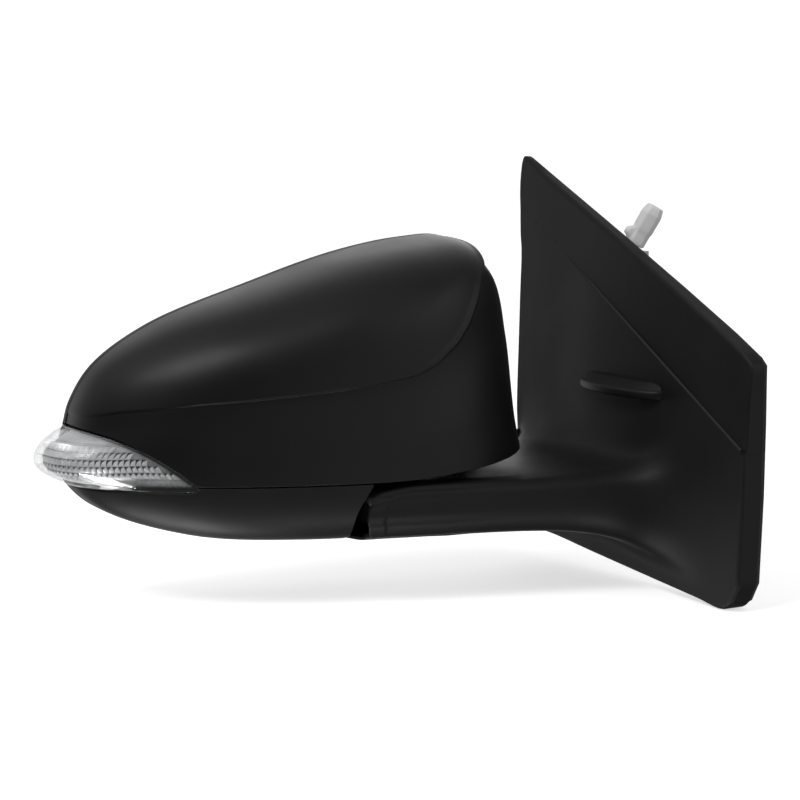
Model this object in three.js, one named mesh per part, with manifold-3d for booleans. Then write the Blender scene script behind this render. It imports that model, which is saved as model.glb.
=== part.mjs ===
// Door mirror of a compact saloon car, right-hand side: a sail base that bolts to the door,
// a folding head with a turn lamp, and a motor-driven tilting glass.
//
// Frame, in millimetres: the origin is on the door's mounting plane. +X points inboard, into the door,
// -Y points to the front of the car, +Z is up. The head is drawn in its own frame (p, q, z), whose
// origin is on the fold axis: p runs along the glass towards the car, q runs to the rear.
import * as THREE from "three";
import Module from "manifold-3d";
import { mergeVertices } from "three/addons/utils/BufferGeometryUtils.js";

const wasm = await Module();
wasm.setup();

// ---------------------------------------------------------------- driving dimensions
const GAP = 0.4; // clearance between touching pieces
const WALL = 2.5; // moulded wall
const FOLD_AXIS_X = -115; // fold axis, measured from the door plane
const HEAD_TURN = THREE.MathUtils.degToRad(-8); // the glass plane is turned towards the driver

const RIM_Q = 52; // plane of the housing's rear rim
const FACE_Q = -37; // foremost part of the head's face
const FACE_P = 5; // where the face is foremost
const SWEEP_OUT = 0.0016; // how fast the face falls back outboard, per mm
const SWEEP_IN = 0.002; // and inboard
const ROUND_TOP = 3.2; // roundness power of the head's shoulders
const ROUND_BOTTOM = 6.5; // and of its squarer underside
const SEAM_Z = -13.6; // lower edge of the painted cap
const CAP_REAR_Q = 45; // rear edge of the cap

const ARM_TOP_Z = -15.6; // the arm's top under the head
const ARM_EDGE_Z = -17.5; // the arm's upper front edge
const ARM_BOTTOM_Z = -43.4; // the arm's underside
const ARM_END_FALL = 4.2; // the upper front edge drops by this at the arm's end
// Radius and height of its round end, from the underside up.
const ARM_END = [[38, -60], [41, -44], [46.5, -38.5], [49.2, -33], [49.8, -27], [48.2, -20], [46.8, -15], [46.8, -14]];
const FACE_X_LOW = -11; // outer face of the sail, low down
const FACE_LEAN = 7 / 130; // the face leans in as it rises
const EDGE_ROUND = 1.4; // the face's edge is eased by this

const BALL = { p: -56, q: 30, z: 30 }; // the glass pivot
const LEVER = 24; // from the pivot to each plunger
const GLASS_Q = 41.5; // reflecting face of the glass

// Outline of the head seen from the rear, anticlockwise from its outboard tip over the top.
const HEAD_TOP = [
  [-160, 12], [-157, 22], [-146, 38.5], [-118, 57], [-64, 76], [-20, 89],
  [16, 95], [39, 94.5], [52.5, 81.5], [57, 50], [59.5, 10],
];
const HEAD_OUTLINE = [
  ...HEAD_TOP, [63, -20], [57, -39], [20, -44], [-60, -45], [-112, -41], [-150, -27], [-164, -8],
];
// The rear rim follows it, but rises over the arm at its lower inboard corner.
const RIM_OUTLINE = [
  ...HEAD_TOP, [60, -6], [55.5, -13.4], [28, -14], [0, -14], [-19, -15.5], [-30, -23], [-38, -34],
  [-54, -42.5], [-80, -44.5], [-112, -41], [-150, -27], [-164, -8],
];
const LAMP_TIP_P = -113; // inboard tip of the turn lamp
const LAMP_OUTER_P = -165;
const LAMP_TOP_Z = 12; // the lamp's upper edge at the outboard end
const LAMP_BOTTOM_Z = -16.5;
const LAMP_REAR_Q = 49;
const BULB = { p: -130, z: -8, radius: 4.5, flange: 17 };
const LAMP_BULGE = 14.4; // how far the lens stands proud of the head at its outboard end
// Depths of the lamp's shells below that surface, how far each is drawn in at its edges, and its rear end.
const LENS = { outer: 0, inner: 2, margin: 0, rear: LAMP_REAR_Q };
const OPTIC = { outer: 3.4, inner: 5.2, margin: 2.2, rear: 36 };
const LAMP_SHELL = { outer: 6, inner: 8, margin: 2.6, rear: 28 };

// ---------------------------------------------------------------- materials
const material = (color, roughness, metalness = 0) =>
  new THREE.MeshStandardMaterial({ color, roughness, metalness });
const PRIMER = material(0x242424, 0.42);
const TEXTURED = material(0x202020, 0.7);
const CLEAR = material(0xe8ecee, 0.08);
const REFLECTOR = material(0xb9bcbf, 0.25, 0.6);
const NYLON = material(0xd6d6d0, 0.45);
const CAST = material(0x9a9c9e, 0.5, 0.8);
const STEEL = material(0xb4b6b8, 0.35, 0.9);
const MIRROR = material(0xdfe4e8, 0.03, 1);
const ACETAL = material(0xe4e0d4, 0.5);
const RUBBER = material(0x151515, 0.9);
const FOAM = material(0x2c2c2e, 0.95);
const HEATER = material(0xc8782c, 0.6);
const GLASSFILLED = material(0x3a3c3e, 0.6);

// ---------------------------------------------------------------- solids
function manifoldOf(geometry) {
  const bare = geometry.index ? geometry.toNonIndexed() : geometry.clone();
  const positions = new THREE.BufferGeometry().setAttribute("position", bare.getAttribute("position"));
  const merged = mergeVertices(positions, 1e-4);
  const triVerts = new Uint32Array(merged.index.array);
  let solid = new wasm.Manifold(
    new wasm.Mesh({ numProp: 3, vertProperties: merged.attributes.position.array, triVerts }),
  );
  if (solid.volume() < 0) {
    for (let i = 0; i < triVerts.length; i += 3) [triVerts[i + 1], triVerts[i + 2]] = [triVerts[i + 2], triVerts[i + 1]];
    solid = new wasm.Manifold(
      new wasm.Mesh({ numProp: 3, vertProperties: merged.attributes.position.array, triVerts }),
    );
  }
  return solid;
}

function geometryOf(solid) {
  const mesh = solid.getMesh();
  const positions = new Float32Array(mesh.numVert * 3);
  for (let i = 0; i < mesh.numVert; i++)
    positions.set(mesh.vertProperties.subarray(i * mesh.numProp, i * mesh.numProp + 3), i * 3);
  return new THREE.BufferGeometry()
    .setAttribute("position", new THREE.BufferAttribute(positions, 3))
    .setIndex(new THREE.BufferAttribute(mesh.triVerts, 1));
}

// Rings of points joined into a closed skin: ends are closed by fans, or the last ring meets the first.
function skin(rings, loop = false) {
  const count = rings[0].length;
  const points = rings.flat();
  const index = [];
  const quads = loop ? rings.length : rings.length - 1;
  for (let r = 0; r < quads; r++)
    for (let j = 0; j < count; j++) {
      const [a, b] = [r * count + j, r * count + ((j + 1) % count)];
      const [c, d] = [((r + 1) % rings.length) * count + j, ((r + 1) % rings.length) * count + ((j + 1) % count)];
      index.push(a, b, c, b, d, c);
    }
  if (!loop)
    for (const [ring, first, flip] of [[rings[0], 0, true], [rings.at(-1), (rings.length - 1) * count, false]]) {
      const centre = ring.reduce((sum, v) => sum.add(v), new THREE.Vector3()).divideScalar(count);
      points.push(centre);
      for (let j = 0; j < count; j++) {
        const [a, b] = [first + j, first + ((j + 1) % count)];
        index.push(...(flip ? [b, a, points.length - 1] : [a, b, points.length - 1]));
      }
    }
  return manifoldOf(new THREE.BufferGeometry().setFromPoints(points).setIndex(index));
}

function box(low, high) {
  const size = high.map((v, i) => v - low[i]);
  const geometry = new THREE.BoxGeometry(...size);
  geometry.translate(...high.map((v, i) => (v + low[i]) / 2));
  return manifoldOf(geometry);
}

// A cylinder or cone from z0 to z1 round a vertical axis at (x, y).
function cylinder(radius, z0, z1, x = 0, y = 0, sides = 24, topRadius = radius) {
  const geometry = new THREE.CylinderGeometry(topRadius, radius, z1 - z0, sides);
  geometry.rotateX(Math.PI / 2).translate(x, y, (z0 + z1) / 2);
  return manifoldOf(geometry);
}

// A cylinder along q (or Y), from y0 to y1.
function barrel(radius, y0, y1, x, z, sides = 24) {
  const geometry = new THREE.CylinderGeometry(radius, radius, y1 - y0, sides);
  geometry.translate(x, (y0 + y1) / 2, z);
  return manifoldOf(geometry);
}

// A cylinder along X, from x0 to x1.
function rod(radius, x0, x1, y, z, sides = 18) {
  const geometry = new THREE.CylinderGeometry(radius, radius, x1 - x0, sides);
  geometry.rotateZ(Math.PI / 2).translate((x0 + x1) / 2, y, z);
  return manifoldOf(geometry);
}

function lathe(profile, sides = 32) {
  const geometry = new THREE.LatheGeometry(profile.map(([r, z]) => new THREE.Vector2(r, z)), sides);
  geometry.rotateX(Math.PI / 2);
  return manifoldOf(geometry);
}

// An outline in the (p or Y, z) plane, extruded along the third axis from low to high.
function prism(outline, low, high, axis) {
  const shape = new THREE.Shape(outline.map(([a, b]) => new THREE.Vector2(a, b)));
  const geometry = new THREE.ExtrudeGeometry(shape, { depth: high - low, bevelEnabled: false });
  const basis = new THREE.Matrix4();
  if (axis === "x") basis.set(0, 0, 1, low, 1, 0, 0, 0, 0, 1, 0, 0, 0, 0, 0, 1);
  if (axis === "q") basis.set(1, 0, 0, 0, 0, 0, 1, low, 0, 1, 0, 0, 0, 0, 0, 1);
  if (axis === "z") basis.makeTranslation(0, 0, low);
  return manifoldOf(geometry.applyMatrix4(basis));
}

// ---------------------------------------------------------------- outlines
function closedCurve(points, count) {
  const curve = new THREE.CatmullRomCurve3(points.map(([a, b]) => new THREE.Vector3(a, b, 0)), true, "centripetal");
  return Array.from({ length: count }, (_, i) => {
    const v = curve.getPoint(i / count);
    return [v.x, v.y];
  });
}

// Moves each point of a closed outline inwards, square to the outline.
function shrink(outline, distance) {
  const next = (i, step) => outline[(i + outline.length + step) % outline.length];
  const area = outline.reduce((sum, [a, b], i) => sum + a * next(i, 1)[1] - next(i, 1)[0] * b, 0);
  const inward = distance * Math.sign(area);
  return outline.map(([a, b], i) => {
    const [[a0, b0], [a1, b1]] = [next(i, -1), next(i, 1)];
    const length = Math.hypot(a1 - a0, b1 - b0);
    return [a - (inward * (b1 - b0)) / length, b + (inward * (a1 - a0)) / length];
  });
}

const smooth = (t) => {
  const c = Math.min(1, Math.max(0, t));
  return c * c * (3 - 2 * c);
};

// ---------------------------------------------------------------- the head's outer form
const HEAD_CENTRE = [-50, 28];

function faceDepth(p) {
  const d = p - FACE_P;
  return FACE_Q + (d < 0 ? SWEEP_OUT : SWEEP_IN) * d * d;
}

// The lamp's upper edge, seen from the front, drops to its tip.
function lampTop(p) {
  const along = (p - LAMP_OUTER_P) / (LAMP_TIP_P - LAMP_OUTER_P);
  return LAMP_TOP_Z - (LAMP_TOP_Z - LAMP_BOTTOM_Z - 1.5) * Math.min(1, Math.max(0, along)) ** 1.7;
}

// The lens swells outboard between its upper and lower edges, and is flush with the head at them.
function swell(p, q, z) {
  const up = (z - LAMP_BOTTOM_Z) / (lampTop(p) - LAMP_BOTTOM_Z);
  if (up <= 0 || up >= 1) return 0;
  return LAMP_BULGE * (4 * up * (1 - up)) ** 0.65 * smooth((-133 - p) / 30) * smooth((LAMP_REAR_Q + 0.5 - q) / 9);
}

// How round the shoulder is between face and rim, at an outline point.
function roundPower([op, oz]) {
  const [cp, cz] = HEAD_CENTRE;
  const low = 0.5 - (0.5 * (oz - cz)) / Math.hypot(op - cp, oz - cz);
  return ROUND_TOP + (ROUND_BOTTOM - ROUND_TOP) * low * low;
}

// A point of the head's skin. share runs from 0 at the middle of the face to 1 at the rim.
function headPoint([op, oz], share, inset, proud) {
  const [cp, cz] = HEAD_CENTRE;
  const power = roundPower([op, oz]);
  const rise = 1 - (1 - share ** power) ** (1 / power);
  const scale = share * (1 - inset / Math.hypot(op - cp, oz - cz));
  const [p, z] = [cp + (op - cp) * scale, cz + (oz - cz) * scale];
  const face = faceDepth(p) + inset;
  const q = face + (RIM_Q - face) * rise;
  const out = proud ? swell(p, q, z) : 0;
  const tilt = 1.2 * (1 - rise) ** 2;
  return new THREE.Vector3(p - out / Math.hypot(1, tilt), q - (out * tilt) / Math.hypot(1, tilt), z);
}

const SHARES = [0.12, 0.38, 0.6, 0.76, 0.87, 0.94, 0.978, 0.995, 1];
const FINE_SHARES = [0.12, 0.4, 0.6, 0.7, 0.8, 0.87, 0.92, 0.955, 0.978, 0.99, 0.996, 0.999, 1];

function headForm(inset, { count = 50, proud = false, tail = 12 } = {}) {
  const ring = closedCurve(HEAD_OUTLINE, count);
  const rings = (proud ? FINE_SHARES : SHARES).map((share) => ring.map((o) => headPoint(o, share, inset, proud)));
  rings.push(rings.at(-1).map((v) => new THREE.Vector3(v.x, v.y + tail, v.z)));
  return skin(rings);
}

const BIG = 400;
const below = (z) => box([-BIG, -BIG, z - BIG], [BIG, BIG, z]);
const above = (z) => box([-BIG, -BIG, z], [BIG, BIG, z + BIG]);
const ahead = (q) => box([-BIG, q - BIG, -BIG], [BIG, q, BIG]);

// The lamp's outline drawn in by a margin, cut right through the head.
function lampCut(margin) {
  const floor = LAMP_BOTTOM_Z + margin;
  const outline = [[-210, LAMP_TOP_Z - margin]];
  for (let p = LAMP_OUTER_P; p <= LAMP_TIP_P && lampTop(p) - margin > floor + 0.5; p += 4)
    outline.push([p - margin, lampTop(p) - margin]);
  outline.push([outline.at(-1)[0] - 1, floor], [-210, floor]);
  return prism(outline, -90, 90, "q");
}

// The round end of the arm, about the fold axis, grown by a clearance.
const armEnd = (grow) => lathe([[0, -60], ...ARM_END.map(([r, z]) => [r + grow, z]), [0, -14]], 48);

function capCover() {
  const shell = headForm(0).subtract(headForm(WALL, { tail: 20 }));
  return shell.intersect(above(SEAM_Z)).intersect(ahead(CAP_REAR_Q)).subtract(lampCut(-0.5));
}

function lowerCover() {
  const shell = headForm(0).subtract(headForm(WALL, { tail: 20 }));
  const room = armEnd(1.8).add(box([-12, -BIG, -BIG], [BIG, BIG, SEAM_Z]));
  return shell.intersect(below(SEAM_Z - 1)).intersect(ahead(CAP_REAR_Q)).subtract(room).subtract(lampCut(-0.5));
}

// A ring of the rear housing: the rim outline drawn in by inset, at depth q. The outer skin follows the head.
function rimRing(inset, q, count = 50) {
  const [cp, cz] = HEAD_CENTRE;
  return closedCurve(RIM_OUTLINE, count).map(([op, oz]) => {
    const face = faceDepth(op);
    const power = roundPower([op, oz]);
    const rise = Math.min(1, (q - face) / (RIM_Q - face));
    const hug = inset < 5 ? (1 - (1 - rise) ** power) ** (1 / power) : 1;
    const scale = hug * (1 - inset / Math.hypot(op - cp, oz - cz));
    return new THREE.Vector3(cp + (op - cp) * scale, q, cz + (oz - cz) * scale);
  });
}

function rearHousing() {
  const front = CAP_REAR_Q + GAP;
  // Distance in from the rim's outline, and depth: the lip, the funnel to the floor, and back underneath.
  const profile = [
    [0, front], [0, 47.5], [0.4, 50], [2.2, RIM_Q], [5, RIM_Q], [7, 50], [8.6, 44], [9.8, 32], [12.4, 21.5], [14.5, 18],
    [34, 17.2], [34, 15.5], [13.8, 16.2], [10.6, 21], [8, 31], [6.4, 44], [5, 49.2], [3, 49], [2.4, front],
  ];
  const solid = skin(profile.map(([inset, q]) => rimRing(inset, q)), true);
  const inside = headForm(WALL + 0.6, { tail: 30 }).add(box([-BIG, CAP_REAR_Q, -BIG], [BIG, BIG, BIG]));
  const bulbRoom = barrel(BULB.radius + 3, 8, 30, BULB.p, BULB.z, 20);
  const lampRoom = lampCut(-0.5).intersect(ahead(LAMP_REAR_Q + GAP)).subtract(headForm(6, { tail: 30 }));
  return solid.intersect(inside).subtract(lampRoom).subtract(armEnd(1.8)).subtract(bulbRoom);
}

// ---------------------------------------------------------------- the turn lamp
// One shell of the lamp, between two depths below the head's skin.
function lampLayer({ outer, inner, margin, rear }, count = 80) {
  const form = headForm(outer, { proud: true, count });
  const core = headForm(inner, { proud: true, count, tail: 20 });
  return form.subtract(core).intersect(lampCut(margin)).intersect(ahead(rear));
}

const lampHousing = () => lampLayer(LAMP_SHELL).subtract(barrel(BULB.radius + GAP, -40, 40, BULB.p, BULB.z, 20));

function bulbHolder() {
  const { p, z, radius, flange } = BULB;
  const front = headForm(OPTIC.inner + 0.5, { proud: true, count: 80 });
  return barrel(radius, -20, flange, p, z, 16).intersect(front).add(barrel(radius + 2, flange, flange + 2, p, z, 16));
}

// ---------------------------------------------------------------- the sail base
// Outline of the sail, (Y, z): up its rear edge to the apex, down its long slope, and round the front and foot.
const SAIL_TOP = [
  [60.5, -12], [61.5, 40], [64.5, 95], [66, 124], [64.5, 131], [-17, 96.5], [-68, 74.4], [-108, 56.5], [-127, 47],
  [-131.3, 43], [-131.3, 15], [-130.5, -20],
];
const SAIL_FRONT = [[-130.5, -20], [-129, -45], [-128, -62]];
const SAIL_BOTTOM = [[-122.5, -71.5], [-116, -75], [-60, -69.5], [0, -63.5], [51, -58.5]];
const SAIL_REAR = [[59, -52], [60, -30]];

const faceX = (z) => FACE_X_LOW + FACE_LEAN * Math.max(0, z);
// Front and rear faces of the arm: the front tapers outboard, the rear widens to the sail.
const armFrontY = (x) => -69 - (x + 12) * (40 / 144);
const armRearY = (x) => 32 + 25 * smooth((x + 66) / 54) ** 1.2;

// Divides a line of points into count steps, keeping its corners; the last point is left out.
function spread(points, count) {
  const reach = points.slice(1).map(([a, b], i) => Math.hypot(a - points[i][0], b - points[i][1]));
  const steps = reach.map(() => 1);
  for (let left = count - steps.length; left > 0; left--) {
    const widths = reach.map((v, i) => v / steps[i]);
    steps[widths.indexOf(Math.max(...widths))]++;
  }
  const between = (a, b, t) => [a[0] + (b[0] - a[0]) * t, a[1] + (b[1] - a[1]) * t];
  return steps.flatMap((n, i) => Array.from({ length: n }, (_, k) => between(points[i], points[i + 1], k / n)));
}

// Steps of the outline, and of the arm's section, along each side.
const COUNTS = { top: 22, front: 7, bottom: 10, rear: 4 };

function sailOutline() {
  return [
    ...spread(SAIL_TOP, COUNTS.top),
    ...spread([...SAIL_FRONT, SAIL_BOTTOM[0]], COUNTS.front),
    ...spread([...SAIL_BOTTOM, SAIL_REAR[0]], COUNTS.bottom),
    ...spread([...SAIL_REAR, SAIL_TOP[0]], COUNTS.rear),
  ];
}

// The arm's section at station x, side by side with the sail's outline: its top, front, underside and rear.
function armSection(x, inset) {
  const [front, rear] = [armFrontY(x) + inset, armRearY(x) - inset];
  const [top, edge, bottom] = [ARM_TOP_Z - inset, ARM_EDGE_Z - inset, ARM_BOTTOM_Z + inset];
  const fall = ARM_END_FALL * Math.min(1, Math.max(0, (-130 - x) / 22)) ** 2;
  const crown = [
    [rear, top - 1.5], [rear - 3, top], [front + 12, top - fall * 0.6], [front + 1.5, edge + 0.4 - fall],
    [front, edge - 1 - fall],
  ];
  const face = [
    [front, edge - 1 - fall], [front + 0.6, bottom + 13], [front + 2.6, bottom + 7], [front + 6.5, bottom + 2.6],
    [front + 13, bottom + 0.3],
  ];
  const floor = [[front + 13, bottom + 0.3], [rear - 6, bottom], [rear, bottom + 6]];
  return [
    ...spread(crown, COUNTS.top),
    ...spread(face, COUNTS.front),
    ...spread(floor, COUNTS.bottom),
    ...spread([[rear, bottom + 6], [rear, top - 1.5]], COUNTS.rear),
  ];
}

// How far along the arm, and how far over the sail, the blend between them reaches, round the section.
function blendReach(j) {
  const { top, front, bottom } = COUNTS;
  const under = top + front;
  const corners = [
    [0, 14, 10], [top * 0.3, 15, 22], [top * 0.8, 18, 40], [top, 46, 48], [under, 56, 58], [under + bottom * 0.6, 26, 22],
    [under + bottom, 20, 10], [under + bottom + COUNTS.rear, 14, 10],
  ];
  const k = Math.max(0, corners.findIndex(([at]) => at > j) - 1);
  const [[a, alongA, overA], [b, alongB, overB]] = [corners[k], corners[k + 1]];
  const t = smooth((j - a) / (b - a));
  return [alongA + (alongB - alongA) * t, overA + (overB - overA) * t];
}

function sailForm(inset, { start = -185, back = -1 } = {}) {
  const outline = shrink(sailOutline(), inset);
  // One line of the skin: along the arm, round the blend, over the sail's face to its edge, and back to the door.
  const lines = outline.map(([qy, qz], j) => {
    const [along, over] = blendReach(j);
    const stop = FACE_X_LOW - along;
    const line = [start, (start + stop) / 2 - 20, (start + stop) / 2 + 20, stop].map((x) => {
      const [y, z] = armSection(x, inset)[j];
      return new THREE.Vector3(x, y, z);
    });
    const [ky, kz] = armSection(stop, inset)[j];
    const reach = Math.hypot(qy - ky, qz - kz);
    const share = Math.min(over / reach, 0.75);
    const knee = new THREE.Vector3(faceX(kz) + inset, ky, kz);
    const [fy, fz] = [ky + (qy - ky) * share, kz + (qz - kz) * share];
    const foot = new THREE.Vector3(faceX(fz) + inset, fy, fz);
    const bend = new THREE.QuadraticBezierCurve3(line.at(-1), knee, foot);
    line.push(...[0.2, 0.4, 0.6, 0.8, 1].map((t) => bend.getPoint(t)));
    for (const t of [0.5, 0.965]) {
      const [y, z] = [fy + (qy - fy) * t, fz + (qz - fz) * t];
      line.push(new THREE.Vector3(faceX(z) + inset, y, z));
    }
    line.push(new THREE.Vector3(faceX(qz) + inset + EDGE_ROUND, qy, qz), new THREE.Vector3(back, qy, qz));
    return line;
  });
  return skin(lines[0].map((_, k) => lines.map((line) => line[k])));
}

// Only the part of a form that lies inboard of the fold axis, or within the arm's round end.
const trimArm = (form, inset) =>
  form.intersect(armEnd(-inset).translate([FOLD_AXIS_X, 0, 0]).add(box([FOLD_AXIS_X, -BIG, -BIG], [BIG, BIG, BIG])));

const FIN = { y: [-66, 1], z: [20.8, 26.4], reach: 13 };

function fin() {
  const [front, rear] = FIN.y;
  const blade = [];
  for (let i = 0; i <= 10; i++) {
    const t = i / 10;
    blade.push([rear + (front - rear) * t, -9 - FIN.reach * Math.sin(Math.PI * t) ** 0.45]);
  }
  const outline = blade.map(([y, x]) => [x, y]);
  outline.push([-6, front], [-6, rear]);
  return prism(outline, FIN.z[0], FIN.z[1], "z");
}

const UNDER_COVER = [[-128, -24], [-112, -30], [-60, -36], [-60, 20], [-112, 24], [-128, 18]];

function sailCover() {
  const outer = trimArm(sailForm(0), 0);
  const inner = trimArm(sailForm(WALL, { start: -180, back: 4 }), WALL);
  const postHole = cylinder(24, ARM_TOP_Z - 6, ARM_TOP_Z + 4, FOLD_AXIS_X, 0, 32);
  const underHole = prism(UNDER_COVER, ARM_BOTTOM_Z - 4, ARM_BOTTOM_Z + 5, "z");
  return outer.add(fin()).subtract(inner).subtract(postHole).subtract(underHole);
}

const STUDS = [[-92, -44], [-84, 34], [30, 40]]; // Y and z of each
const STUD = { radius: 3, head: 5, tip: 24 };
const CLIP = { at: [7.2, -17, 91], along: [0.4, -0.27, 0.87], thick: 7 };
const GROMMET = { y: -38, z: -30, bore: 6, neck: 11, lip: 13 };
const DUCT = { front: -12, rear: 2, low: -33, high: -24 }; // the harness tunnel along the beam

function baseBracket() {
  const plateOutline = [[42, -44], [44, 78], [28, 84], [-98, 28], [-112, 12], [-110, -54], [-96, -60]];
  const plate = prism(plateOutline, -3, -0.6, "x");
  const pad = box([-3, -14, -14], [0, 14, 14]);
  const beamOutline = [[-150, -20], [-60, -40], [-30, -50], [-2.4, -58], [-2.4, 30], [-30, 24], [-60, 20], [-150, 18]];
  const beam = prism(beamOutline, -36, -21, "z");
  const round = cylinder(36, -90, 10, FOLD_AXIS_X, 0, 40).add(box([FOLD_AXIS_X, -60, -60], [5, 60, 40]));
  const pedestal = cylinder(22, -36, ARM_TOP_Z - 0.4, FOLD_AXIS_X, 0, 32);
  let solid = plate.add(pad).add(beam.intersect(round)).add(pedestal);
  for (const [y, z] of STUDS) solid = solid.add(rod(9, -4, 0, y, z, 20)).subtract(rod(STUD.radius + 0.3, -9, 2, y, z, 18));
  const [cx, cy, cz] = CLIP.at;
  solid = solid.add(box([-3, cy - 7, cz - 36], [11, cy + 5, cz - 3]));
  const { front, rear, low, high } = DUCT;
  const duct = rod(GROMMET.neck + GAP, -14, 4, GROMMET.y, GROMMET.z, 20)
    .add(box([-100, front, low], [-10, rear, high]))
    .add(box([-16, -44, low], [-3, rear, high]));
  const postBore = cylinder(POST.outer + GAP, -50, 0, FOLD_AXIS_X, 0).add(cylinder(POST.flange + 0.6, -50, -33, FOLD_AXIS_X, 0));
  return solid.subtract(duct).subtract(postBore);
}

function gasket() {
  const outline = sailOutline();
  return prism(shrink(outline, 1), -0.6, 1.8, "x").subtract(prism(shrink(outline, 4.5), -2, 4, "x"));
}

function locatingClip() {
  const outline = [
    [-3.6, 0], [3.6, 0], [4.2, 4], [4.2, 17], [2.4, 22], [-2.4, 22], [-4.2, 17], [-4.2, 9], [-6.8, 6.5], [-6.8, 4.5],
    [-4.2, 3],
  ];
  const shape = new THREE.Shape(outline.map(([a, b]) => new THREE.Vector2(a, b)));
  const geometry = new THREE.ExtrudeGeometry(shape, { depth: CLIP.thick, bevelEnabled: false });
  geometry.translate(0, 0, -CLIP.thick / 2).rotateX(Math.PI / 2);
  return manifoldOf(geometry);
}

function stud() {
  return rod(STUD.radius, -5, STUD.tip, 0, 0, 14).add(rod(STUD.head, -5.8, -4.3, 0, 0, 14));
}

function grommet() {
  const { bore, neck, lip } = GROMMET;
  const solid = rod(neck, -9, -3.4, 0, 0, 20).add(rod(lip, -0.4, 3, 0, 0, 20)).add(rod(neck - 0.1, -4, 0, 0, 0, 20));
  return solid.subtract(rod(bore, -5, 8, 0, 0, 16));
}

// ---------------------------------------------------------------- the fold joint
const POST = { outer: 7, bore: 4.5, flange: 11.4, foot: -37, seat: -33.6, top: 44 };
const HUB = { low: -10.5, high: 3, radius: 15 };
const DETENT = { inner: 7.6, outer: 19 };
const SPRING = { radius: 10.6, wire: 1.7, low: 6.2, high: 34, turns: 5 };

function pivotPost() {
  const { outer, bore, flange, foot, seat, top } = POST;
  return lathe([[bore, foot], [flange, foot], [flange, seat], [outer, seat], [outer, top], [bore, top], [bore, foot]]);
}

// A ring with three radial cams on its top (sign 1) or matching recesses in its underside (sign -1).
function detentRing(low, high, sign) {
  const { inner, outer } = DETENT;
  const ring = lathe([[inner, low], [outer, low], [outer, high], [inner, high], [inner, low]]);
  const cam = prism([[9, -2], [18, -2.8], [18, 2.8], [9, 2]], high - 0.5, high + 1, "z");
  const recess = prism([[5, -2.6], [21, -4.16], [21, 4.16], [5, 2.6]], low - 1, low + 1.2, "z");
  return [0, 120, 240].reduce(
    (solid, turn) => (sign > 0 ? solid.add(cam.rotate([0, 0, turn])) : solid.subtract(recess.rotate([0, 0, turn]))),
    ring,
  );
}

class Coil extends THREE.Curve {
  constructor(radius, low, high, turns) {
    super();
    Object.assign(this, { radius, low, high, turns });
  }
  getPoint(t, target = new THREE.Vector3()) {
    const angle = 2 * Math.PI * this.turns * t;
    return target.set(this.radius * Math.cos(angle), this.radius * Math.sin(angle), this.low + (this.high - this.low) * t);
  }
}

function foldSpring() {
  const { radius, wire: thick, low, high, turns } = SPRING;
  const corner = (i) => new THREE.Vector2(thick * Math.cos((i * Math.PI) / 3), thick * Math.sin((i * Math.PI) / 3));
  const wire = new THREE.Shape(Array.from({ length: 6 }, (_, i) => corner(i)));
  const curve = new Coil(radius, low, high, turns);
  return manifoldOf(new THREE.ExtrudeGeometry(wire, { steps: 46, bevelEnabled: false, extrudePath: curve }));
}

const springCup = () => lathe([[7.3, 36.2], [14, 36.2], [14, 38.2], [7.3, 38.2], [7.3, 36.2]], 24);
const postNut = () => cylinder(11, 38.5, 43, 0, 0, 6).subtract(cylinder(7.3, 30, 50, 0, 0, 24));

// The load-carrying frame: a hub round the post and a plate that carries the actuator.
function headFrame() {
  const hub = cylinder(HUB.radius, HUB.low, HUB.high, 0, 0, 32);
  const outline = [[-94, -2], [-86, -10.5], [12, -10.5], [13, 3], [-14, 8], [-20, 54], [-80, 42], [-94, 28]];
  const plate = prism(outline, -13, -9.5, "q");
  const shelf = box([-86, -13, -10.5], [12, 12, -7]);
  const bore = cylinder(POST.outer + GAP, -20, 20, 0, 0);
  const cableHole = barrel(13, -20, 0, -66, 27, 24);
  return hub.add(plate).add(shelf).subtract(bore).subtract(cableHole);
}

// ---------------------------------------------------------------- glass drive
const ACTUATOR = { p: [-97, -19], z: [-6, 54], front: -9, split: 5, rear: 15, wall: 2, corner: 8 };
const PLUNGERS = [[BALL.p + LEVER, BALL.z], [BALL.p, BALL.z - LEVER]]; // for yaw and for pitch
const PLUNGER = { radius: 3, ball: 4.4 };
const MOTOR = { radius: 7.4, length: 26, gap: 11.5 }; // the gap is from the wheel's axis to the can's end
const RING = { outer: 10.5, inner: 7.4, pin: 1.4 };
const WHEEL = { root: 7.9, tip: 9.5, low: 2.5, high: 7.5, teeth: 18 };
const WORM = { root: 1.7, tip: 2.6, q: 5, length: 15, lead: 2.8 };
const WORM_RISE = WHEEL.tip + WORM.tip + 0.25; // worm axis above its wheel's axis

function actuatorOutline(inset) {
  const { corner } = ACTUATOR;
  const [p0, p1] = [ACTUATOR.p[0] + inset, ACTUATOR.p[1] - inset];
  const [z0, z1] = [ACTUATOR.z[0] + inset, ACTUATOR.z[1] - inset];
  return [
    [p0, z0 + corner], [p0 + corner, z0], [p1 - corner, z0], [p1, z0 + corner], [p1, z1 - corner], [p1 - corner, z1],
    [p0 + corner, z1], [p0, z1 - corner],
  ];
}

function frontCase() {
  const { front, split, wall } = ACTUATOR;
  const body = prism(actuatorOutline(0), front, split - 0.2, "q");
  return body.subtract(prism(actuatorOutline(wall), front + wall, split + wall, "q"));
}

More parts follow.
